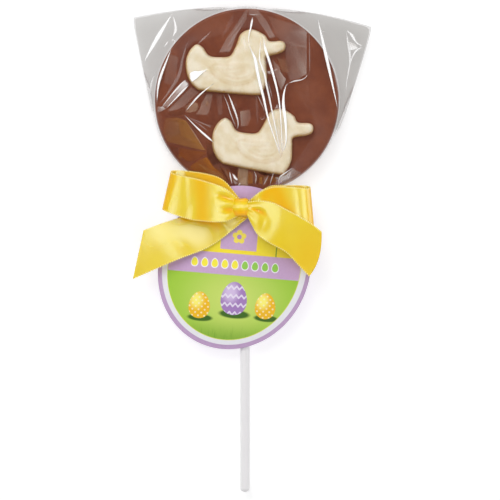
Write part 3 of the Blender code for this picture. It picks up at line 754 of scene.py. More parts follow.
def make_duck(name, finish):
    """A white chocolate duck: rounded edge, low folded wing and fine feather grooves."""
    outline = spline(np.array(DUCK_OUTLINE) * MM, 12, closed=True)
    wing = spline(np.array(WING_OUTLINE) * MM, 8, closed=True)
    inward = leftward(np.roll(outline, -1, axis=0) - np.roll(outline, 1, axis=0))
    layers = []
    for step in EDGE_STEPS:
        layer = outline + inward * step * MM
        apart = line_distance(layer[:, 0], layer[:, 1], outline, closed=True)[0]
        layers.append(layer[apart > 0.9 * step * MM])
    gx, gy = np.meshgrid(np.arange(-27.0 * MM, 23.0 * MM, DUCK_PITCH),
                         np.arange(-19.0 * MM, 15.0 * MM, DUCK_PITCH))
    gx[1::2] += 0.5 * DUCK_PITCH
    gx, gy = gx.ravel(), gy.ravel()
    kept = inside(gx, gy, outline) & (line_distance(gx, gy, outline, closed=True)[0] > 2.5 * MM)
    points = np.concatenate([outline, *layers, np.stack([gx[kept], gy[kept]], axis=1)])
    count = len(outline)
    flat, faces = filled(points, joined(count), TRIANGLES_INSIDE)
    x, y = flat[:, 0], flat[:, 1]
    depth, place_along = line_distance(x, y, outline, closed=True)
    round_it = along(np.concatenate([outline, outline[:1]]))
    outward = -np.concatenate([inward, inward[:1]])
    # How far each edge faces the bottom, for the painted shade along the lower edges.
    faces_down = 0.5 - 0.5 * np.interp(place_along, round_it / round_it[-1], outward @ (0.35, 0.94))
    rise = np.interp(depth / MM, (0.0, *EDGE_STEPS, PLAIN_FROM), EDGE_RISE)
    to_wing = line_distance(x, y, wing, closed=True)[0] * np.where(inside(x, y, wing), 1.0, -1.0)
    raised = ease((to_wing + 0.3 * MM) / (1.3 * MM))
    drift = ripple(x, y, 3.2 * MM, 12)
    worn = np.clip(0.55 + 0.9 * ripple(x, y, 2.6 * MM, 14), 0.0, 1.0)
    feathers = np.cos(TURN * (to_wing + 0.8 * MM * drift) / FEATHER_PITCH)
    feathers = feathers * ease(to_wing / (1.0 * MM)) * worn
    lines = np.sin(TURN * (depth - 0.4 * to_wing + 1.2 * MM * drift) / BODY_LINE_PITCH)
    lines = lines * ease((depth - 2.0 * MM) / (2.0 * MM)) * worn
    rise += WING_RISE * raised + FEATHER_RISE * feathers + BODY_LINE_RISE * lines * (1.0 - raised)
    height = DUCK_RELIEF * rise + 0.04 * MM * ripple(x, y, 1.6 * MM, 8) * ease(depth / (1.5 * MM))
    # Painted shade: darker in the feather grooves, the body lines and round the wing, and along the edges
    # that face the bottom.
    groove = np.clip(0.6 - 0.6 * feathers, 0.0, 1.0) * raised * 0.45
    groove += np.clip(-lines, 0.0, 1.0) * (1.0 - raised) * 0.3
    groove += 0.55 * np.exp(-(to_wing / (0.6 * MM)) ** 2) * (y < -6.0 * MM)
    groove += 2.2 * faces_down * np.exp(-depth / (1.0 * MM))
    shape = Shape("groove")
    cx, cy, turn = DUCK_PLACES[name]
    turned = np.array(Matrix.Rotation(math.radians(turn), 3, "Z"))
    centre = (cx * MM, cy * MM, DISC_FACE + GAP)
    rows = [np.c_[x, y, height], np.c_[outline, np.full(count, -GAP - DUCK_SUNK)]]
    placed = [row @ turned.T + centre for row in rows]
    shape.add(placed[0], faces, groove=groove)
    wall = [[k, n, len(flat) + n, len(flat) + k] for k, n in joined(count)]
    shape.add(placed[1], [])
    shape.faces += wall + [[len(flat) + k for k in range(count)]]
    return shape.piece(name + "_relief", finish, [name], "white_chocolate")


def make_stick(finish):
    """The round stick with its smooth end."""
    dome = 0.8 * STICK_RADIUS
    stations = [(stick_high.y, 0.8), (stick_high.y - 0.5 * MM, 1.0)]
    stations += [(y, 1.0) for y in np.linspace(stick_high.y - 4.0 * MM, stick_low.y + dome, 30)]
    stations += [(stick_low.y + dome * (1.0 - math.sin(turn)), math.cos(turn))
                 for turn in np.linspace(0.1, 0.25 * TURN - 0.04, 10)]
    shape = Shape()
    shape.lathe([ring(full_turn(64), y, STICK_RADIUS * share, STICK_RADIUS * share) for y, share in stations])
    return shape.piece("round_stick", finish, ["stick"], "white_plastic")


# Film bag.

def reach(line, angles, closed=False):
    """Farthest distance from the disc's centre to a line of points, in each direction."""
    line = [tuple(p) for p in line]
    ends = line[1:] + line[:1] if closed else line[1:]
    cos, sin = np.cos(angles), np.sin(angles)
    best = np.zeros(len(angles))
    for (ax, ay), (bx, by) in zip(line, ends):
        ex, ey = bx - ax, by - ay
        cross = cos * ey - sin * ex
        cross = np.where(np.abs(cross) < 1e-12, 1e-12, cross)
        out = (ax * ey - ay * ex) / cross
        share = (ax * sin - ay * cos) / cross
        best = np.where((out > 0.0) & (share >= -1e-9) & (share <= 1.0 + 1e-9), np.maximum(best, out), best)
    return best


def bag_sides():
    """The bag's outline beyond the disc: right side, bowed top edge, left side."""
    outline = [(x * MM, y * MM) for x, y in SIDE_RIGHT[::-1]] + [WING_RIGHT]
    for tip, order in ((WING_RIGHT, 1), (WING_LEFT, -1)):
        part = [(TOP_PEAK[0] + (tip[0] - TOP_PEAK[0]) * s, TOP_PEAK[1] - (TOP_PEAK[1] - tip[1]) * s * s)
                for s in np.linspace(0.95, 0.05, 19)]
        outline += part[::order]
    return outline + [WING_LEFT] + [(x * MM, y * MM) for x, y in SIDE_LEFT]


def neck_section(y):
    """Half width, half height and middle level of the drawn-in film at a place along the neck."""
    share = np.clip((SHOULDER_Y - y) / (SHOULDER_Y - NECK_TOP_Y), 0.0, 1.0)
    drawn = share ** 1.3
    half_width = SHOULDER_HALF_WIDTH + (NECK_RADIUS - SHOULDER_HALF_WIDTH) * drawn
    half_height = 0.47 * FILM_ON_DISC + (NECK_RADIUS - 0.47 * FILM_ON_DISC) * drawn
    middle = 0.5 * FILM_ON_DISC + (STICK_Z - 0.5 * FILM_ON_DISC) * drawn
    return half_width, half_height, middle


DIRECTIONS = 480


def film_profile():
    """Directions round the disc, and in each how far out the film lies level and where it ends."""
    step = TURN / DIRECTIONS
    angles = step * np.arange(DIRECTIONS)
    for tip in (WING_RIGHT, WING_LEFT):
        angle = math.atan2(tip[1], tip[0])
        angles[round(angle / step)] = angle
    duck_points = []
    for cx, cy, turn in DUCK_PLACES.values():
        c, s = math.cos(math.radians(turn)), math.sin(math.radians(turn))
        duck_points += [((cx + x * c - y * s) * MM, (cy + x * s + y * c) * MM) for x, y in DUCK_OUTLINE]
    hull = [duck_points[k] for k in convex_hull_2d(duck_points)]
    level = np.minimum(reach(hull, angles, closed=True) + TOP_MARGIN, TOP_LIMIT)
    y = np.linspace(SHOULDER_Y, NECK_TOP_Y, 12)
    half = neck_section(y)[0]
    neck = list(zip(STICK_X - half, y)) + list(zip(STICK_X + half[::-1], y[::-1]))
    edge = np.maximum(np.maximum(reach(bag_sides(), angles), reach(neck, angles)), HUG_RADIUS)
    return angles, level, edge


ANGLES, LEVEL_REACH, FILM_EDGE = film_profile()

# The film's creases, each a painted highlight, reflection or shade: points in millimetres, width in
# millimetres, strength of the painted light, place of the widest part along the crease, and tone: 0 white
# painted highlight, 0.3 tan painted reflection, 0.6 deep amber painted reflection of the ribbon, 1 dark
# painted shade.
CREASES = [
    # left wing and the disc's left edge
    ([(-36.3, 42.3), (-43.2, 31), (-50.2, 18.6)], 2.4, 0.95, 0.5, 0),
    ([(-36, 41.6), (-34.8, 36.6), (-34.7, 34), (-36.2, 30.4)], 1.5, 0.8, 0.65, 0),
    ([(-38, 29), (-40.4, 25.8)], 0.8, 0.7, 0.4, 0),
    ([(-36.9, 28.6), (-35.8, 29.4), (-34.9, 28.4), (-35.7, 27.3), (-36.6, 27.6)], 0.5, 0.7, 0.3, 0),
    ([(-36.6, 25.5), (-38.8, 19.6), (-41.6, 12.4), (-43.2, 6), (-43.7, -1.2)], 1.4, 0.95, 0.55, 0),
    ([(-44.6, 13), (-46.5, 8), (-47.1, 2)], 0.9, 0.55, 0.5, 0),
    ([(-28.6, 28.9), (-31.2, 19.8), (-33.1, 11.7), (-38.3, 3.4), (-43.2, -2.6)], 1.8, 0.26, 0.55, 0),
    # left of the disc
    ([(-29.8, 9.9), (-35.6, 3.6), (-41.6, -3.8)], 0.9, 0.9, 0.3, 0),
    ([(-27.8, 7.6), (-33.4, 1.9), (-39.1, -4)], 1, 0.95, 0.3, 0),
    ([(-15.9, 8), (-23, 2.2), (-29.8, -5.6)], 0.9, 0.95, 0.55, 0),
    ([(-30.3, -7.3), (-23.4, -14.3), (-15.8, -20.9)], 1.1, 0.95, 0.8, 0),
    ([(-29, -8.2), (-23, -10.8), (-17.4, -13.2)], 0.6, 0.3, 0.7, 0),
    ([(-28.5, -8.4), (-22.5, -12.4), (-18.2, -15.8)], 0.5, 0.3, 0.7, 0),
    ([(-29.2, -10.8), (-25.1, -17), (-20.4, -24.4)], 0.5, 0.3, 0.5, 0.1),
    ([(-11.5, 2.8), (-9.5, -1.7), (-7.8, -6.9), (-6, -11.5), (-5.2, -13.4)], 0.6, 0.6, 0.5, 0),
    ([(-9.3, 3.2), (-7.9, 0.2), (-6.6, -3.4), (-5.3, -6.9), (-4.3, -10.5), (-4.3, -12.8), (-4.9, -14.4)],
        1.1, 0.85, 0.4, 0),
    ([(-17.2, 33.4), (-20.4, 30.2), (-24.2, 26.6)], 0.9, 0.32, 0.6, 0),
    ([(-6.2, 42.5), (-8.6, 36.5), (-12.5, 29.5)], 2.4, 0.1, 0.4, 0),
    # the folds that run from the top edge down over both ducks
    ([(0.2, 42.6), (-4.6, 35.2), (-10, 28.4)], 0.6, 0.2, 0.6, 0),
    ([(-1.8, 36.6), (-5.6, 31.4), (-9.4, 25.4)], 1.6, 0.2, 0.6, 0),
    ([(0.8, 41.5), (5.8, 41.4)], 0.5, 0.45, 0.5, 0),
    ([(2.9, 40.4), (2, 35.5), (1, 31), (0.7, 27)], 1, 1, 0.2, 0),
    ([(0.7, 27.8), (2.5, 23.2), (4.1, 19.4), (5.2, 13.4), (6.6, 7), (8.1, 1), (10.6, -10), (13.9, -20),
        (16.2, -27)], 1.7, 1, 0.2, 0),
    ([(-1.6, 31), (-1.2, 28), (-0.4, 24)], 1, 0.35, 0.5, 0),
    ([(7.5, 31.2), (6.6, 27), (6.2, 19.8), (7.2, 16.2), (8.6, 12.3), (9.6, 7), (11, 0.7), (13.1, -9.9),
        (15, -19), (16.2, -26)], 1.1, 0.9, 0.35, 0),
    ([(7.8, 31.4), (9, 24.6), (10.1, 21.3), (11.6, 16.4), (13.1, 11.2), (15, 3.3), (16, -3.4), (16.5, -10),
        (17, -20), (16.8, -25)], 1.4, 1, 0.14, 0),
    ([(10.1, 9.8), (11.5, 4.2), (12.5, 0.2)], 0.6, 0.35, 0.6, 0),
    ([(20.6, 8.2), (19.2, 7), (18.4, 4.8), (17.8, 1.4), (17.8, -3.4), (18.7, -10), (19.1, -17.4),
        (18.8, -21.6), (17.7, -25.6)], 1.7, 1, 0.4, 0),
    ([(13.2, -5), (13.8, -12), (15.2, -21), (16, -26)], 0.8, 0.4, 0.5, 0),
    ([(15, -5), (15.4, -12), (16.2, -22)], 0.7, 0.35, 0.5, 0),
    ([(30.2, 34.2), (30.4, 28), (30.5, 14.5), (29.7, 12.2)], 0.6, 0.3, 0.6, 0),
    ([(28.9, 32.5), (28.9, 20), (29.3, 13.2)], 0.5, 0.2, 0.5, 0),
    ([(29.8, 12.6), (28.3, 10.7), (26.2, 9.6), (22.9, 9), (20.2, 8)], 0.8, 0.75, 0.7, 0),
    ([(4.9, 2.6), (7, -1.6), (8.8, -6)], 0.6, 0.4, 0.4, 0),
    ([(4.4, 3), (4.9, -3), (5.4, -13)], 1.6, 0.12, 0.4, 0),
    ([(7.6, -7.8), (8.6, -8.6), (7.4, -9.6), (6.6, -8.8), (7.4, -8.2)], 0.35, 0.4, 0.5, 0),
    ([(9, 19.6), (8.4, 18.6), (9.2, 17.6), (10, 18.8), (9.4, 19.8)], 0.35, 0.4, 0.5, 0),
    # right edge of the disc and the right wing
    ([(34.3, 40.4), (36.2, 32.2), (38.5, 21.8), (41, 10.6), (42.9, 1.8), (44.3, -4.6)], 1.7, 1, 0.4, 0),
    ([(36, 33.6), (38.2, 33.2)], 1, 0.4, 0.2, 0),
    ([(39.8, 21.5), (42.9, 13), (44.6, 3)], 1.4, 0.3, 0.6, 0),
    ([(48.3, 34.2), (49.4, 27.6), (50.1, 23), (50.2, 18), (48.7, 9.4), (48.2, 3.6)], 1.2, 0.7, 0.3, 0),
    ([(48.4, 34.2), (51, 32), (53.4, 28.2), (56.5, 26.3)], 1.3, 0.9, 0.4, 0),
    ([(56.5, 26.2), (53.2, 24), (51.2, 20.6), (50.2, 17)], 1.1, 0.8, 0.3, 0),
    # the gathered foot
    ([(-8.4, -34.9), (-7.8, -38), (-7.1, -41)], 0.7, 0.85, 0.3, 0),
    ([(-3, -40.2), (-4.2, -41.6)], 0.9, 0.7, 0.5, 0),
    ([(-4.1, -33.2), (-4.1, -40.4)], 0.7, 0.6, 0.5, 0.25),
    ([(3.3, -34.2), (4.5, -37.3), (4, -41.3)], 0.8, 0.5, 0.6, 0),
    ([(13.2, -34.7), (11.6, -39.8), (11.1, -41.7)], 0.6, 0.65, 0.5, 0),
    ([(10.7, -36.5), (7.8, -41.7)], 0.6, 0.5, 0.5, 0),
    ([(22.4, -32.9), (16.9, -36.8), (15.8, -38.1), (15, -41.6)], 0.8, 0.85, 0.6, 0),
    ([(16.4, -38.4), (15.4, -41.6)], 0.5, 0.7, 0.5, 0),
    ([(15, -38.6), (13.8, -41.6)], 0.5, 0.5, 0.5, 0),
    ([(-15.4, -31.2), (-12.8, -35.4), (-9, -40.4)], 0.9, 0.35, 0.5, 0.45),
    ([(-13.6, -31.8), (-11, -35.6), (-8.2, -40.8)], 1.1, 0.45, 0.5, 1),
    ([(-11.2, -32.6), (-9.6, -36), (-7.8, -39.6)], 0.9, 0.3, 0.5, 0.2),
    # painted shadow under the lower duck's bottom edge
    ([(4.8, -34.9), (8.6, -36), (13, -36.8)], 1.5, 0.8, 0.4, 1),
]
# Flat facets between creases, painted with highlight, reflection or shade: tone, then corners in millimetres
# with the strength of the painted light at each.
FACETS = [
    # left
    (0, [(-27.9, 12.9, 1), (-27.2, 13.5, 1), (-25.3, 14.2, 1), (-23.4, 13.9, 1), (-21.4, 14.3, 1),
        (-18.4, 15.2, 0.6), (-19.8, 14, 0.8), (-21.4, 12.9, 1), (-22.7, 11.7, 1), (-24.3, 10.1, 1),
        (-26.9, 8.4, 1), (-27.8, 10.1, 1)]),
    (0, [(-29.8, 9.8, 0.8), (-28.1, 7.9, 0.8), (-33.5, 1.7, 0.3), (-38.8, -3.6, 0.3), (-41.4, -3.8, 0.3),
        (-35.9, 3.4, 0.3)]),
    (0, [(-43.6, -3, 0.25), (-40.6, -3.1, 0.75), (-39, -4.2, 0.5), (-41.4, -5.6, 0.38), (-43.9, -6, 0.25)]),
    (0, [(-44.2, -5, 0.12), (-42.2, -5, 0.12), (-40.4, -12.6, 0.05), (-41.4, -15.4, 0.04),
        (-43.4, -10, 0.08)]),
    (0.06, [(-26.9, 6.4, 0.22), (-22.8, 3.6, 0.17), (-26.6, 0.6, 0.19), (-30.2, -3.2, 0.2),
        (-33.2, -4.6, 0.25), (-37.6, -5.7, 0.3), (-38.5, -5.2, 0.3), (-36.3, -2.9, 0.23),
        (-30.2, 3.2, 0.23)]),
    (0.2, [(-30.2, -3.4, 0.25), (-27, -1, 0.44), (-23.8, -1.4, 0.5), (-23.2, -3.4, 0.44), (-24, -5.6, 0.38),
        (-27.9, -6.4, 0.44), (-29.9, -6.2, 0.25)]),
    (1, [(-25, -4.6, 0.24), (-23.4, -3, 0.4), (-22.8, -4.8, 0.4), (-24.4, -6, 0.24)]),
    (1, [(-24.6, -0.4, 0.4), (-23, -0.2, 0.5), (-23.4, -2, 0.3)]),
    (0.15, [(-19.4, 2.9, 0.3), (-16.4, 2.9, 0.23), (-17.2, -2.4, 0.23), (-18.3, -6.4, 0.26),
        (-19.2, -7.7, 0.3), (-25, -7.4, 0.3), (-23, -4.6, 0.37), (-22.2, -1.8, 0.3)]),
    (0.35, [(-20.9, -1.2, 0.1), (-19.5, -0.2, 0.4), (-18, -1.6, 0.4), (-19.2, -3.4, 0.4),
        (-20.8, -2.6, 0.1)]),
    (0.1, [(-15, 2.8, 0.07), (-12.2, 2.8, 0.17), (-11.6, -7.6, 0.14), (-13.9, -7.8, 0.17)]),
    (0.03, [(-40.5, 8, 0.15), (-38, 23, 0.18), (-33, 21, 0.18), (-35, 6.5, 0.12)]),
    # painted shadow band
    (1, [(-38.9, -6.2, 0.35), (-34, -5, 0.2), (-29.9, -3.6, 0.15), (-29.8, -6.9, 0.45), (-34.4, -8.1, 0.4),
        (-38.9, -7.7, 0.3)]),
    (0.38, [(-39.9, -8.6, 0.2), (-33.5, -8.3, 0.4), (-29.4, -9.9, 0.5), (-24.9, -16.8, 0.46),
        (-19.7, -24.8, 0.56), (-25.1, -23.9, 0.38), (-30.5, -22.5, 0.38), (-39.3, -20.2, 0.31),
        (-41, -15.1, 0.2)]),
    (0.4, [(-34.5, -9, 0.1), (-29.6, -10.2, 0.2), (-24.9, -17.4, 0.25), (-22, -22, 0.3), (-27.5, -19.5, 0.42),
        (-31.8, -17.6, 0.3)]),
    (0.12, [(-38.5, -10.5, 0.06), (-33.5, -10.5, 0.1), (-31.5, -16, 0.08), (-36.5, -18.5, 0.11),
        (-39.6, -15.5, 0.08)]),
    (0.6, [(-33.2, -22.9, 0.34), (-26.4, -24.3, 0.41), (-19.9, -25.2, 0.48), (-19.7, -26.8, 0.34),
        (-22.8, -28.4, 0.34), (-25.2, -30.3, 0.28), (-29.2, -29.9, 0.48), (-33, -27, 0.48)]),
    (1, [(-39, -21.2, 0.2), (-33.2, -22.9, 0.3), (-33, -27, 0.25), (-30.4, -29.9, 0.3), (-34.6, -29, 0.2)]),
    (0.45, [(-34.4, -26.4, 0.13), (-32.2, -26, 0.39), (-31.4, -28.6, 0.39), (-33.2, -29.2, 0.2)]),
    (1, [(-19.8, -20.4, 0.23), (-17.3, -21, 0.29), (-16.2, -24.8, 0.52), (-13.4, -31, 0.57),
        (-16.3, -32.2, 0.52), (-19.3, -27.4, 0.52), (-19.7, -25, 0.46)]),
    (0.5, [(-19.4, -27.5, 0.8), (-22.7, -28.5, 0.47), (-26.6, -31.1, 0.53), (-28.2, -32.6, 0.47),
        (-23.3, -35.6, 0.53), (-17, -37.2, 0.47), (-10.6, -41, 0.4), (-9, -40, 0.4), (-12.4, -35.4, 0.47),
        (-16.2, -32.4, 0.8)]),
    (0.25, [(-24.9, -30.4, 0.3), (-23.4, -30.9, 0.35), (-12.2, -36.2, 0.4), (-9.6, -40, 0.3),
        (-11.6, -39, 0.3), (-20, -34.6, 0.35)]),
    (0, [(-21, -11.6, 0.1), (-17.2, -12.2, 0.3), (-17.4, -13.9, 0.3), (-19.5, -12.9, 0.1)]),
    # over the ducks
    (0.03, [(-0.4, 44, 0.21), (0.6, 44.6, 0.21), (0.2, 39.6, 0.21), (-2.6, 35.1, 0.21), (-5.2, 30.9, 0.25),
        (-6.8, 26.3, 0.29), (-8.4, 23, 0.32), (-13.8, 22.6, 0.27), (-10.1, 29.6, 0.21), (-5.2, 36.7, 0.21)]),
    (0, [(5.2, 44.4, 0.21), (10.1, 37.8, 0.23), (14, 30.2, 0.32), (11.2, 29.5, 0.32), (8.6, 33.6, 0.26),
        (4.1, 40.7, 0.21)]),
    (0.04, [(0.4, 45.2, 0.22), (5.2, 45, 0.22), (6.2, 41.3, 0.22), (3.8, 40.4, 0.22), (0.7, 41.5, 0.22)]),
    (0.03, [(10, 41, 0.12), (26.5, 36, 0.2), (29.5, 33, 0.4), (29.2, 25, 0.24), (18.5, 27, 0.2),
        (14.2, 30.4, 0.12)]),
    (0.12, [(18.5, 27, 0.16), (29, 27, 0.21), (29.2, 12.2, 0.41), (25, 9.8, 0.24), (20.8, 9, 0.21),
        (18.8, 14, 0.1)]),
    (0.03, [(20.4, 29, 0.06), (23.4, 28, 0.12), (29, 14.6, 0.2), (28.4, 12, 0.23), (25.4, 13.6, 0.14)]),
    (0.12, [(12.4, 19.8, 0.19), (15.6, 16.6, 0.25), (16.4, 13.6, 0.44), (19.2, 9.8, 0.5), (18, 6.7, 0.44),
        (16.6, 4, 0.25), (15.6, 6.6, 0.31), (13.4, 13.4, 0.25)]),
    (0, [(9.4, 13.9, 0.5), (11.8, 14.2, 0.5), (12, 12.4, 0.4), (10.6, 12.2, 0.4)]),
    (0, [(12.6, 13.8, 0.3), (14.2, 15.3, 0.5), (15.1, 15, 0.5), (13.6, 13.4, 0.3)]),
    (0.22, [(14.5, 20.8, 0.25), (19.5, 19.5, 0.18), (20.5, 12.5, 0.22), (17, 13.5, 0.25)]),
    (0.15, [(-3.5, -5.4, 0.44), (1.6, -4.4, 0.2), (2.4, -9, 0.17), (0.6, -13, 0.17), (-3, -13.2, 0.36)]),
    (0.9, [(-4.6, -4, 0.3), (-2.4, -3.6, 0.3), (-1.6, -4.8, 0.2), (-3.8, -5.4, 0.3)]),
    (0.1, [(-6.4, -2, 0.1), (-5.2, -1.8, 0.25), (-4.8, -3, 0.25), (-6, -3.2, 0.1)]),
    (0, [(10.6, -9, 0.15), (18.4, -9, 0.2), (19, -18, 0.4), (17.9, -25, 0.6), (16.4, -28.8, 0.3),
        (15.6, -26, 0.6), (13.8, -19.6, 0.3)]),
    (0, [(14.8, -1.8, 0.5), (15.8, -4.4, 0.4), (13.2, -4.6, 0.4)]),
    # right
    (0, [(23.8, 8.4, 0.05), (30.4, 9, 0.08), (31, -2, 0.05), (27.4, -1, 0.08)]),
    (0, [(21, 6.4, 0.04), (24, 5.6, 0.08), (34, -8, 0.06), (30, -6, 0.06)]),
    (0, [(49.4, 29, 0.5), (50.2, 24, 1), (54.4, 25.2, 0.8), (53, 27.8, 0.35)]),
    # foot
    (0, [(22.7, -33.1, 0.4), (27.2, -35.6, 0.24), (23.7, -38, 0.24), (19.2, -41.6, 0.28), (16.2, -41.6, 0.3),
        (15.9, -39.2, 0.3), (17.4, -36.8, 0.36)]),
    # painted shadow under the lower duck
    (1, [(-9, -32.6, 0.55), (-4.5, -32.9, 0.63), (-4.4, -38, 0.6), (-6.4, -36, 0.48), (-8, -35.2, 0.48)]),
    (0, [(-7.2, -35.7, 1), (-6.4, -36, 1), (-4.1, -38.8, 1), (-4.7, -39.5, 0.9), (-6.4, -38.2, 1)]),
    (0, [(-7.4, -38.2, 0.3), (-6.4, -38.6, 0.4), (-4, -40.4, 0.5), (-5.4, -41.4, 0.5), (-6.4, -40.4, 0.3)]),
    (0.17, [(-3.4, -38, 0.2), (0, -37, 0.3), (0.1, -41.2, 0.4), (-3.8, -41.2, 0.4)]),
    (0.45, [(0.4, -34.8, 0.4), (2.9, -34.8, 0.4), (3.2, -41, 0.6), (0.5, -41, 0.6)]),
    (1, [(4.8, -36.2, 0.4), (6, -36.6, 0.3), (6.2, -41.3, 0.3), (4.7, -41.5, 0.4)]),
    (0.4, [(6, -36.8, 0.66), (7.6, -37.4, 0.66), (7.4, -41.3, 0.66), (6.2, -41.3, 0.66)]),
    (0.14, [(8.2, -37.2, 0.24), (10.4, -36.8, 0.24), (9.4, -41.5, 0.3), (7.9, -41.5, 0.3)]),
    (0.45, [(11.6, -40, 0.3), (12.8, -37.4, 0.35), (14.8, -38, 0.35), (13.6, -41.6, 0.35),
        (11.8, -41.6, 0.35)]),
]
RIDGE_LIFT = 0.22 * MM
RIDGE_REACH = 1.3 * MM
CREASE_GAP = 0.08 * MM
FACET_GAP = 0.04 * MM
FACET_EDGE = 0.6 * MM
EYE_TO_LIGHT = 1.63     # a judged strength, as a share of the light
FACET_WARMTH = 0.14     # how far a faint facet's painted reflection leans to tan


def film_levels(x, y):
    """Front and back levels of the film at points of the plane."""
    angle = np.arctan2(y, x)
    radius = np.hypot(x, y)
    flat, edge = (np.interp(angle, ANGLES, far, period=TURN) for far in (LEVEL_REACH, FILM_EDGE))
    inner = np.clip((radius - flat) / (POCKET_RADIUS - flat), 0.0, 1.0)
    over_disc = FILM_ON_DISC + (FILM_ON_DUCKS - FILM_ON_DISC) * (1.0 - inner) ** 1.25
    span = edge - POCKET_RADIUS
    share = np.clip((radius - POCKET_RADIUS) / np.clip(span, 1e-6, SLOPE_LENGTH), 0.0, 1.0)
    wrapped = 1.0 - ease((span - WRAP_SPANS[0]) / (WRAP_SPANS[1] - WRAP_SPANS[0]))
    left = wrapped * np.sqrt(1.0 - share * share) + (1.0 - wrapped) * (1.0 - share) ** 1.4
    out = np.clip(radius - HUG_RADIUS, 0.0, None) / WING_CURL_REACH
    wave = WING_WAVE * np.sin(x / WAVE_LENGTHS[0] + y / WAVE_LENGTHS[1]) * ease(out * 1.6)
    wing = WING_LEVEL + (WING_CURL * ease(out) + wave) * np.where(x < 0.0, LEFT_WING_SHARE, 1.0)
    beyond = wing + LAYER_GAP + (FILM_ON_DISC - wing - LAYER_GAP) * left
    below = (wing - LAYER_GAP) * (1.0 - left)
    front = np.where(radius < POCKET_RADIUS, over_disc, beyond)
    back = np.where(radius < POCKET_RADIUS, 0.0, below)
    half_width, half_height, middle = neck_section(y)
    in_neck = (y < SHOULDER_Y) & (np.abs(x - STICK_X) < half_width)
    bulge = half_height * np.sqrt(np.clip(1.0 - ((x - STICK_X) / half_width) ** 2, 0.0, 1.0))
    front = np.where(in_neck, np.maximum(front, middle + bulge), front)
    back = np.where(in_neck, np.minimum(back, middle - bulge), back)
    ends = np.clip((BACK_LIFT_Y - y) / BACK_LIFT_OVER, 0.0, 1.0)
    return front, back + (np.maximum(middle - bulge, 0.0) - back) * ends * in_neck


def gathers(x, y):
    """Pleats that run together at the tie and die out over the disc."""
    dx = x - STICK_X
    dy = y - TIE_Y
    away = np.hypot(dx, dy)
    fan = np.arctan2(dx, dy)
    wave = np.abs(((fan * GATHERS + 0.3 * np.sin(fan * 5.0)) / math.pi) % 2.0 - 1.0) - 0.5
    strength = ease((GATHER_REACH - away) / GATHER_FADE) * np.clip(away / GATHER_START, 0.0, 1.0)
    return GATHER_DEPTH * wave * strength


def film_front(x, y):
    """The film's front with its gathers and the low ridges along its creases."""
    level = film_levels(x, y)[0] + gathers(x, y)
    for points, _, strength, _, tone in CREASES:
        if tone < 1.0:
            line = evenly(spline(np.array(points) * MM, 6), 2.0 * MM)
            apart, share = line_distance(x, y, line)
            ridge = np.exp(-apart / RIDGE_REACH) * np.sin(math.pi * share) ** 0.5
            level = level + RIDGE_LIFT * strength * ridge
    return level


def make_film(finish):
    """The clear bag: front and back layers sealed round their edge, neck and frill."""
    inner = np.linspace(0.0, 1.0, 62)[1:, None] * POCKET_RADIUS * np.ones(DIRECTIONS)
    shares = np.linspace(0.0, 1.0, 30)[1:, None] ** 1.2
    outer = POCKET_RADIUS + shares * (FILM_EDGE - POCKET_RADIUS)
    radius = np.concatenate([inner, outer])
    x = radius * np.cos(ANGLES)
    y = radius * np.sin(ANGLES)
    back = film_levels(x, y)[1] + FILM_GAP
    front = np.maximum(film_front(x, y), back + FILM_GAP)
    front[-1] = back[-1] = 0.5 * (front[-1] + back[-1])
    at_edge = ease((radius - FILM_EDGE + SEAL_WIDTH) / SEAL_WIDTH) * (FILM_EDGE > SEAL_FROM)
    wing = ease((radius - DISC_RADIUS) / (0.5 * MM)) * ease((FILM_EDGE - HUG_RADIUS) / (1.2 * MM))
    shape = Shape("haze", "wing")
    shape.surface(x, y, front, around=True, haze=0.25 * at_edge, wing=wing)
    shape.surface(*(part[::2, ::2] for part in (x, y, back)), around=True, wing=wing[::2, ::2])
    turns = full_turn(144)
    rings = []
    for share in np.linspace(0.0, 1.0, 60):
        y_at = NECK_TOP_Y + (FRILL_END_Y + FRILL_LAP - NECK_TOP_Y) * share
        free = np.clip((NECK_LOW_Y - y_at) / (NECK_LOW_Y - FRILL_END_Y), 0.0, 1.0)
        fold = np.cos(FRILL_FOLDS * turns + 0.6) + 0.35 * np.cos(3.0 * FRILL_FOLDS * turns + 2.0)
        fold = fold * 0.15 * free ** 0.5
        half_width = NECK_RADIUS + (FRILL_HALF_WIDTH - NECK_RADIUS) * free ** 0.85
        half_height = NECK_RADIUS + (FRILL_HALF_HEIGHT - NECK_RADIUS) * free
        rings.append(ring(turns, y_at + 1.0 * MM * free * np.cos(5.0 * turns),
                          half_width * (1.0 + fold), half_height * (1.0 + 0.4 * fold)))
    shape.grid(np.array(rings), around=True, haze=0.05, wing=0.4)
    return shape.piece("film_bag", finish, ["bag_film"], "clear_film", outward=False)


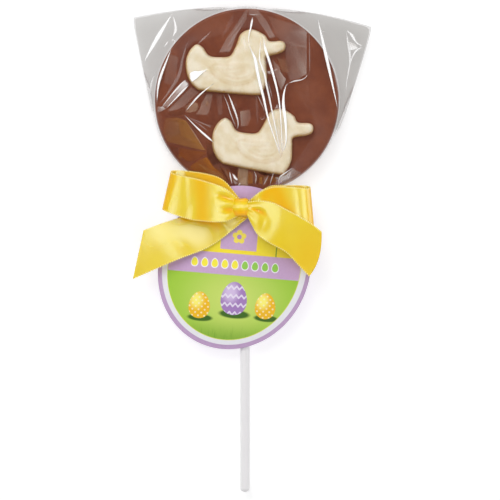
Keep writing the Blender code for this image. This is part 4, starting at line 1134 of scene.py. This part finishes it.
def make_creases(finish):
    """Each crease as a slim tent of film and each facet as a flat patch, fading at their ends, both carrying
    painted highlights, reflections and shade.
    """
    shape = Shape("glint", "tone")
    across = np.array([-1.0, -0.75, -0.45, -0.15, 0.15, 0.45, 0.75, 1.0])
    profile = np.clip(1.0 - np.abs(across) ** 2.2, 0.0, 1.0)
    for points, width, strength, peak, tone in CREASES:
        line = evenly(spline(np.array(points) * MM, 12), 0.45 * MM)
        share = np.linspace(0.0, 1.0, len(line))
        swell = np.where(share < peak, share / peak, (1.0 - share) / (1.0 - peak))
        half = 0.5 * width * MM * (0.22 + 0.78 * ease(swell))
        side = leftward(np.gradient(line, axis=0))
        place = line[:, None, :] + side[:, None, :] * (half[:, None] * across)[:, :, None]
        x, y = place[:, :, 0], place[:, :, 1]
        ends = np.clip(np.minimum(share, 1.0 - share) / 0.12, 0.0, 1.0)[:, None]
        level = film_front(x, y) + CREASE_GAP + 0.4 * profile * half[:, None]
        glint = strength ** EYE_TO_LIGHT * np.clip(1.8 * profile, 0.0, 1.0) * ends
        shape.surface(x, y, level, glint=glint, tone=tone)
    for tone, corners in FACETS:
        corners = np.array(corners) * (MM, MM, 1.0)
        outline = evenly_round(corners, 0.8 * MM)
        centre = outline.mean(axis=0)
        reach_out = np.linalg.norm((outline - centre)[:, :2], axis=1).mean()
        soft = min(FACET_EDGE / reach_out, 0.5)
        inner = np.linspace(1.0 - soft, 0.02, max(4, round(reach_out / (1.2 * MM))))
        shares = np.concatenate([[1.0, 1.0 - 0.5 * soft], inner])[:, None]
        rings = centre + (outline - centre) * shares[:, :, None]
        x, y, strength = rings[:, :, 0], rings[:, :, 1], rings[:, :, 2]
        level = film_front(x, y) + FACET_GAP
        glint = strength ** EYE_TO_LIGHT * ease((1.0 - shares) / soft)
        warm = np.maximum(tone, FACET_WARMTH * (1.0 - strength))
        shape.surface(x, y, level, around=True, glint=glint, tone=warm)
    return shape.piece("film_creases", finish, [], "clear_film", outward=False)


# Card tag.

def tag_place():
    """The tag's frame: its upper part on the ribbon's band, its lower end laid on the stick."""
    low_y = TAG_CENTRE[1] - TAG_HALF_LENGTH
    top_level = STICK_Z + BAND_RADIUS + GAP
    low_level = STICK_Z + STICK_RADIUS + GAP
    slope = math.atan2(top_level - low_level, TIE_Y - low_y)
    height = low_level + (TAG_CENTRE[1] - low_y) * math.tan(slope)
    return Matrix.Translation((*TAG_CENTRE, height)) @ Matrix.Rotation(slope, 4, "X")


def make_tag(finish):
    """The oval card with its punched hole. The object's own axes follow the print."""
    turns = full_turn(200)
    lean = TAG_LEAN - PRINT_LEAN
    oval_x, oval_y = TAG_HALF_WIDTH * np.cos(turns), TAG_HALF_LENGTH * np.sin(turns)
    outline = np.stack([oval_x * math.cos(lean) - oval_y * math.sin(lean),
                        oval_x * math.sin(lean) + oval_y * math.cos(lean)], axis=1)
    place = tag_place() @ Matrix.Rotation(PRINT_LEAN, 4, "Z")
    hole_at = place.inverted() @ Vector((*TAG_HOLE, place.translation.z))
    small = turns[::5]
    hole = np.stack([hole_at.x + TAG_HOLE_RADIUS * np.cos(small),
                     hole_at.y + TAG_HOLE_RADIUS * np.sin(small)], axis=1)
    edges = joined(len(outline)) + joined(len(hole), len(outline))
    flat, faces = filled(np.concatenate([outline, hole]), edges, OUTLINE_FACES)
    shape = Shape()
    shape.add(np.c_[flat, np.full(len(flat), 0.5 * TAG_THICKNESS)], faces)
    made = shape.piece("card_tag", finish, ["tag"], "printed_card")
    made.matrix_world = place
    thicken(made, TAG_THICKNESS, 0.1 * MM)
    return made


# Ribbon bow. Each station gives the upper edge (x, y, z) and the lower edge (x, y, z) in
# millimetres. A loop runs out in front, turns at its end and comes back behind.
RUNS = {
    "left_loop": [
        ((-3.0, -49.8, 16.6), (-3.0, -55.6, 16.2)), ((-8.7, -44.6, 18.8), (-9.1, -58.4, 18.4)),
        ((-12.0, -42.7, 19.75), (-13.6, -59.0, 19.4)), ((-15.6, -41.4, 20.35), (-18.2, -58.9, 20.0)),
        ((-23.8, -39.0, 20.8), (-27.7, -57.7, 20.3)), ((-33.5, -36.9, 19.9), (-37.9, -54.4, 19.5)),
        ((-36.9, -35.4, 17.4), (-40.8, -52.6, 17.2)), ((-33.5, -34.6, 14.9), (-37.6, -52.2, 14.8)),
        ((-20.0, -36.2, 14.4), (-22.3, -54.0, 14.3)), ((-11.1, -39.6, 14.4), (-12.1, -55.0, 14.3)),
        ((-3.0, -49.0, 15.2), (-3.0, -54.8, 15.0)),
    ],
    "right_loop": [
        ((1.2, -49.8, 16.6), (1.2, -55.6, 16.2)), ((4.3, -46.8, 19.4), (4.3, -57.3, 18.1)),
        ((7.4, -44.6, 20.3), (7.4, -59.0, 18.9)), ((13.2, -42.7, 20.5), (14.2, -60.2, 19.8)),
        ((22.0, -42.9, 20.4), (23.4, -61.2, 20.0)), ((28.6, -43.4, 19.6), (30.1, -61.5, 19.2)),
        ((30.8, -42.9, 17.2), (32.4, -60.9, 17.0)), ((28.0, -42.0, 14.9), (29.6, -60.0, 14.8)),
        ((18.6, -41.8, 14.4), (19.6, -58.8, 14.3)), ((10.3, -42.6, 14.4), (10.3, -57.0, 14.3)),
        ((1.2, -49.0, 15.2), (1.2, -54.8, 15.0)),
    ],
    "left_tail": [
        ((-2.2, -54.6, 14.7), (0.4, -57.0, 14.7)), ((-6.7, -56.4, 13.9), (-3.0, -59.6, 14.0)),
        ((-11.1, -56.2, 13.3), (-6.7, -62.6, 13.5)), ((-17.9, -55.9, 12.7), (-12.6, -67.3, 12.5)),
        ((-27.7, -56.3, 13.4), (-21.1, -72.4, 13.2)), ((-40.2, -60.0, 15.4), (-35.0, -77.8, 14.7)),
        ((-50.1, -63.7, 17.5), (-55.2, -86.7, 16.0)),
    ],
    "right_tail": [
        ((0.4, -49.9, 18.5), (0.2, -56.0, 17.9)), ((6.2, -49.4, 20.0), (2.8, -60.9, 18.6)),
        ((12.6, -50.4, 21.4), (5.6, -65.4, 19.5)), ((19.0, -53.6, 22.2), (11.3, -69.3, 20.5)),
        ((25.3, -57.1, 22.5), (19.0, -73.6, 20.0)), ((31.7, -60.9, 21.0), (24.4, -79.2, 18.4)),
        ((36.2, -64.4, 18.8), (30.4, -85.4, 16.6)),
    ],
}
END_BOW = {"right_tail": 2.4 * MM}    # how far a cut end bows out
EVEN = 9.0    # a reach across that fades nowhere on the run
# Soft bands across each run, in millimetres: distance from the knot at its upper and at its
# lower edge, reach along the run, height, and the place and reach across it from 0 to 1.
BANDS = {
    "left_loop": [(30.2, 25.0, 1.8, -0.12, 0.5, EVEN), (8.5, 8.5, 3.6, -0.8, 0.26, 0.08),
                  (6.0, 6.0, 3.2, -0.6, 0.62, 0.07), (48.0, 50.0, 4.0, 0.5, 0.3, 0.5)],
    "right_loop": [(25.0, 25.6, 1.3, -0.10, 0.5, EVEN), (45.0, 44.0, 3.0, 0.5, 0.5, EVEN)],
    "left_tail": [(8.0, 6.5, 2.4, 0.7, 0.35, 0.4), (12.5, 10.5, 2.4, -0.7, 0.5, 0.45),
                  (17.5, 18.5, 3.4, 0.4, 0.7, 0.5), (24.0, 20.0, 4.0, -0.3, 0.5, EVEN),
                  (35.5, 33.5, 4.0, -0.35, 0.7, 0.35), (45.0, 42.0, 6.0, 0.3, 0.4, 0.6)],
    "right_tail": [(5.2, 5.2, 3.4, -1.0, 0.38, 0.08), (9.0, 12.0, 2.4, 0.5, 0.62, 0.25),
                   (15.0, 25.0, 6.0, 0.35, 0.5, 0.6), (30.0, 28.0, 5.0, -0.4, 0.5, EVEN)],
}
# Where the satin is painted deeper, as painted shade in folds and a painted orange glow where cloth shades
# cloth, or painted paler as a highlight where it is below 0: the same measures, with the amount in place of
# the height.
SATIN_PAINTED_LIGHT = {
    "left_loop": [(22.0, 17.5, 4.5, 0.8, 0.5, EVEN), (11.5, 11.5, 4.0, -0.4, 0.6, 0.6),
                  (8.5, 8.5, 4.2, 1.3, 0.26, 0.07), (6.0, 6.0, 3.2, 1.4, 0.62, 0.05),
                  (6.0, 6.0, 2.4, 0.7, 0.72, 0.08), (38.0, 37.5, 3.6, 0.8, 0.5, EVEN),
                  (23.5, 24.0, 2.0, -0.7, 0.9, 0.4), (32.5, 32.5, 2.0, -0.7, 0.9, 0.4),
                  (60.0, 60.0, 16.0, 0.9, 0.5, EVEN)],
    "right_loop": [(13.5, 20.5, 5.0, 1.0, 0.5, EVEN), (9.0, 9.0, 2.5, 0.5, 0.2, 0.3),
                   (4.5, 4.5, 2.5, -0.7, 0.3, 0.5), (7.0, 7.0, 3.0, 0.6, 0.2, 0.12),
                   (31.5, 31.0, 2.0, 0.9, 0.5, EVEN), (50.0, 50.0, 14.0, 0.9, 0.5, EVEN)],
    "left_tail": [(0.0, 0.0, 3.5, 0.9, 0.5, EVEN), (13.5, 13.5, 3.5, 0.8, 0.45, 0.25),
                  (19.5, 19.5, 5.5, 1.9, 0.2, 0.16), (28.0, 27.0, 5.0, 1.5, 0.07, 0.12),
                  (17.0, 17.0, 2.5, 0.5, 0.5, 0.3), (8.0, 8.0, 4.0, -0.9, 0.6, 0.4),
                  (27.0, 24.0, 8.0, -1.0, 0.5, 0.45), (44.0, 38.0, 11.0, -0.6, 0.15, 0.4),
                  (37.0, 33.0, 4.0, 0.35, 0.75, 0.2)],
    "right_tail": [(5.2, 5.2, 3.8, 2.0, 0.38, 0.06), (40.0, 36.0, 9.0, 0.4, 0.6, 0.6)],
}
RUN_PITCH = 0.2 * MM
ACROSS_COUNT = 21
EDGE_SHARE = 0.016
PLEATS = 2.2
PLEAT_PHASE = 0.95
PLEAT_REACH = 14.0 * MM
PLEAT_DEPTH = 0.22 * MM


def soft_bands(bands, run, across):
    """The soft bands of a run, each with its own height or amount, added up at its places."""
    total = 0.0
    for from_upper, from_lower, reach_along, amount, side, reach_across in bands:
        at = (from_upper + (from_lower - from_upper) * across) * MM
        total = total + amount * np.exp(-((run - at) / (reach_along * MM)) ** 2
                                        - ((across - side) / reach_across) ** 2)
    return total


def ribbon_run(shape, name):
    """One run of ribbon: pleated at the knot, softly banded, with small loops along both edges."""
    stations = np.array(RUNS[name]) * MM
    both = evenly(spline(stations.reshape(len(stations), 6), 24), 0.5 * RUN_PITCH)
    run = along(0.5 * (both[:, :3] + both[:, 3:]))
    wanted = np.linspace(0.0, run[-1], int(run[-1] / RUN_PITCH) + 1)
    both = np.stack([np.interp(wanted, run, both[:, k]) for k in range(6)], axis=1)
    upper, lower, run = both[:, None, :3], both[:, None, 3:], wanted[:, None]
    inner = np.linspace(EDGE_SHARE, 1.0 - EDGE_SHARE, ACROSS_COUNT)
    across = np.concatenate([[0.0], inner, [1.0]])[None, :]
    grid = upper + (lower - upper) * across[:, :, None]
    middle = grid[:, ACROSS_COUNT // 2 + 1]
    bow = END_BOW.get(name, 0.0) * 4.0 * across * (1.0 - across) * (run / run[-1]) ** 6
    grid = grid + bow[:, :, None] * unit(middle[-1] - middle[-6])
    normal = unit(np.cross(np.gradient(grid, axis=0), np.gradient(grid, axis=1)))
    facing = math.copysign(1.0, normal[len(grid) // 6, :, 2].mean())
    away = np.hypot(grid[:, :, 0] - KNOT_CENTRE[0], grid[:, :, 1] - KNOT_CENTRE[1])
    near = 1.0 - ease(away / PLEAT_REACH)
    pleat = TURN * (PLEATS * (across + 0.05 * np.sin(run / (3.0 * MM))) - PLEAT_PHASE)
    lift = PLEAT_DEPTH * np.cos(pleat) * near + soft_bands(BANDS[name], run, across) * MM * (1.0 - 0.6 * near)
    grid = grid + normal * facing * lift[:, :, None]
    # Painted shade in the pleat valleys near the knot, added to the satin's table of painted shade, glow and
    # highlights.
    deep = 0.35 * near * ease(0.5 - 0.9 * np.cos(pleat)) + soft_bands(SATIN_PAINTED_LIGHT[name], run, across)
    deep = np.concatenate([deep[:, :1], deep, deep[:, -1:]], axis=1)
    picot = np.abs(np.sin(math.pi * run / PICOT_PITCH))
    rims = []
    for rim, inner in ((0, 1), (-1, -2)):
        out = unit(grid[:, rim] - grid[:, inner])
        rims.append((grid[:, rim] + out * PICOT_SIZE * picot)[:, None])
    grid = np.concatenate([rims[0], grid, rims[1]], axis=1)
    edge = np.zeros(ACROSS_COUNT + 4)
    edge[[0, 1, -2, -1]] = (1.0, 0.8, 0.8, 1.0)
    width = np.concatenate([[0.0], across[0], [1.0]]) * RIBBON_WIDTH
    shape.grid(grid, run=run, across=width, edge=edge * (2.2 * picot - 1.2), deep=np.clip(deep, -1.0, 2.0))


def make_ribbon(finish):
    """The ribbon's two loops and two tails, as one thin satin band."""
    shape = Shape("run", "across", "edge", "deep")
    for name in RUNS:
        ribbon_run(shape, name)
    made = shape.piece("satin_ribbon", finish, ["ribbon_bow"], "yellow_satin", outward=False)
    thicken(made, RIBBON_THICKNESS)
    return made


def make_knot(finish):
    """The creased knot, and the band and stem that hold it to the neck behind the tag."""
    shape = Shape("run", "across", "edge", "deep")
    turns = full_turn(96)
    rings, knot_painted_light = [], []
    for polar in np.linspace(0.08, math.pi - 0.08, 64):
        level = math.cos(polar)
        size = math.sin(polar) ** 0.4
        wave = np.cos(TURN * KNOT_FOLDS * (0.5 * level + 0.06 * np.cos(turns)) + 0.5)
        girth = size * (1.0 + 0.025 * wave * math.sin(polar))
        y = KNOT_CENTRE[1] - KNOT_HALF_SIZE[1] * level * (1.0 + 0.05 * np.cos(2.0 * turns))
        rings.append(ring(turns, y, KNOT_HALF_SIZE[0] * girth, KNOT_HALF_SIZE[2] * girth,
                          KNOT_CENTRE[0], KNOT_CENTRE[2]))
        # Painted shade at the knot's top and bottom and in its fold valleys, and a painted highlight across
        # its middle.
        ends = ease(np.array([(level - 0.1) / 0.7, (-0.55 - level) / 0.4]))
        middle = math.exp(-((level + 0.12) / 0.34) ** 2)
        knot_painted_light.append(0.35 - 0.15 * wave + 1.1 * ends[0] + 0.9 * ends[1] - 0.65 * middle)
    shape.lathe(rings, across=0.5 * RIBBON_WIDTH, deep=np.array(knot_painted_light))
    inner = BAND_RADIUS - BAND_THICKNESS
    corners = ((-1.0, inner), (1.0, inner), (1.0, BAND_RADIUS), (-1.0, BAND_RADIUS), (-1.0, inner))
    band = [ring(turns, TIE_Y + BAND_HALF_WIDTH * side, radius, radius) for side, radius in corners]
    shape.grid(np.array(band), around=True, across=0.5 * RIBBON_WIDTH)
    levels = (STICK_Z + BAND_RADIUS - 0.9 * MM, KNOT_CENTRE[2] - 1.5 * MM)
    stem = ring(turns, 0.0, STEM_RADIUS, STEM_RADIUS, *TAG_HOLE)[:, [0, 2, 1]]
    shape.lathe([stem + (0.0, 0.0, level) for level in levels], across=0.5 * RIBBON_WIDTH)
    return shape.piece("ribbon_knot", finish, ["ribbon_bow"], "yellow_satin")


# Studio.

def area_light(name, location, size, power, glossy=True, only=()):
    """A soft light aimed at the middle of the lollipop, which may light only some pieces."""
    data = bpy.data.lights.new(name, "AREA")
    data.shape = "RECTANGLE"
    data.size, data.size_y = size
    data.energy = power
    light = bpy.data.objects.new(name, data)
    light.location = location
    light.rotation_euler = (Vector(LIGHT_AIM) - Vector(location)).to_track_quat("-Z", "Y").to_euler()
    light.visible_glossy = glossy
    light.visible_camera = False
    scene.collection.objects.link(light)
    if only:
        lit = bpy.data.collections.new(name + "_lights")
        for piece in only:
            lit.objects.link(piece)
        light.light_linking.receiver_collection = lit


def make_daylight():
    """Even daylight from the sides, darker straight overhead."""
    world = bpy.data.worlds.new("daylight")
    world.use_nodes = True
    world.node_tree.nodes.clear()
    at = Field(world.node_tree)
    up = at.node("ShaderNodeTexCoord", out="Generated").parts()[2]
    level = up.smooth(0.98, 0.55) * (DAYLIGHT - OVERHEAD) + OVERHEAD
    sky = at.node("ShaderNodeBackground", values={"Color": (0.97, 0.98, 1.0), "Strength": level})
    output = world.node_tree.nodes.new("ShaderNodeOutputWorld")
    world.node_tree.links.new(sky.socket, output.inputs["Surface"])
    scene.world = world


def make_studio(satin_pieces, firm_pieces, creases):
    """White floor, even daylight, soft lights and the camera above."""
    floor_mesh = bpy.data.meshes.new("floor")
    floor_mesh.from_pydata([(-1, -1, 0), (1, -1, 0), (1, 1, 0), (-1, 1, 0)], [], [(0, 1, 2, 3)])
    floor_mesh.transform(Matrix.Scale(FLOOR_HALF_SIZE, 4))
    floor = bpy.data.objects.new("floor", floor_mesh)
    floor.location.z = -FLOOR_DROP
    material, at = begin("white_floor")
    paint = at.principled({
        "Base Color": (0.6, 0.6, 0.6), "Roughness": 0.9, "Specular IOR Level": 0.2,
        "Emission Color": (1.0, 1.0, 1.0), "Emission Strength": 0.58})
    floor_mesh.materials.append(close(material, paint))
    scene.collection.objects.link(floor)

    make_daylight()
    area_light("overhead", (-0.45, 0.80, 1.3), (1.0, 1.0), 10.4, glossy=False)
    area_light("front", (0.0, -0.05, 1.7), (0.8, 0.8), 3.8, glossy=False)
    area_light("fill", (0.6, -0.8, 1.3), (1.2, 1.2), 4.8, glossy=False)
    area_light("left_strip", (-1.1, 0.25, 0.55), (0.25, 0.9), 3.0, only=firm_pieces)
    area_light("right_strip", (1.1, 0.1, 0.6), (0.2, 0.9), 2.0, only=firm_pieces + satin_pieces)
    area_light("top_strip", (0.0, 1.1, 0.7), (0.9, 0.25), 2.5, only=firm_pieces + satin_pieces)
    area_light("crease_light", (-0.3, 0.2, 1.4), (0.6, 0.6), 7.0, only=[creases])
    area_light("satin_right", (0.46, -0.12, 1.2), (0.28, 0.48), 2.2, only=satin_pieces)
    area_light("satin_left", (-0.56, -0.10, 1.2), (0.30, 0.48), 2.3, only=satin_pieces)
    area_light("knot_light", (-0.05, 0.26, 1.2), (0.5, 0.22), 1.2, only=satin_pieces[1:])

    camera_data = bpy.data.cameras.new("camera")
    camera_data.sensor_width = SENSOR
    camera_data.lens = SENSOR * (CAMERA_HEIGHT - PICTURE_LEVEL) / PICTURE_WIDTH
    camera_data.clip_end = 20.0
    camera = bpy.data.objects.new("camera", camera_data)
    camera.location = (*PICTURE_CENTRE, CAMERA_HEIGHT)
    scene.collection.objects.link(camera)
    scene.camera = camera
    scene.view_settings.view_transform = "Standard"


milk = milk_chocolate()
ivory = white_chocolate()
firm = [make_disc(milk)] + [make_duck(duck, ivory) for duck in DUCK_PLACES] + [make_stick(white_plastic())]
make_film(clear_film())
creases = make_creases(film_crease_paint())
firm.append(make_tag(printed_card()))
satin = yellow_satin()
ribbon = make_ribbon(satin)
knot = make_knot(satin)
make_studio([ribbon, knot], firm, creases)
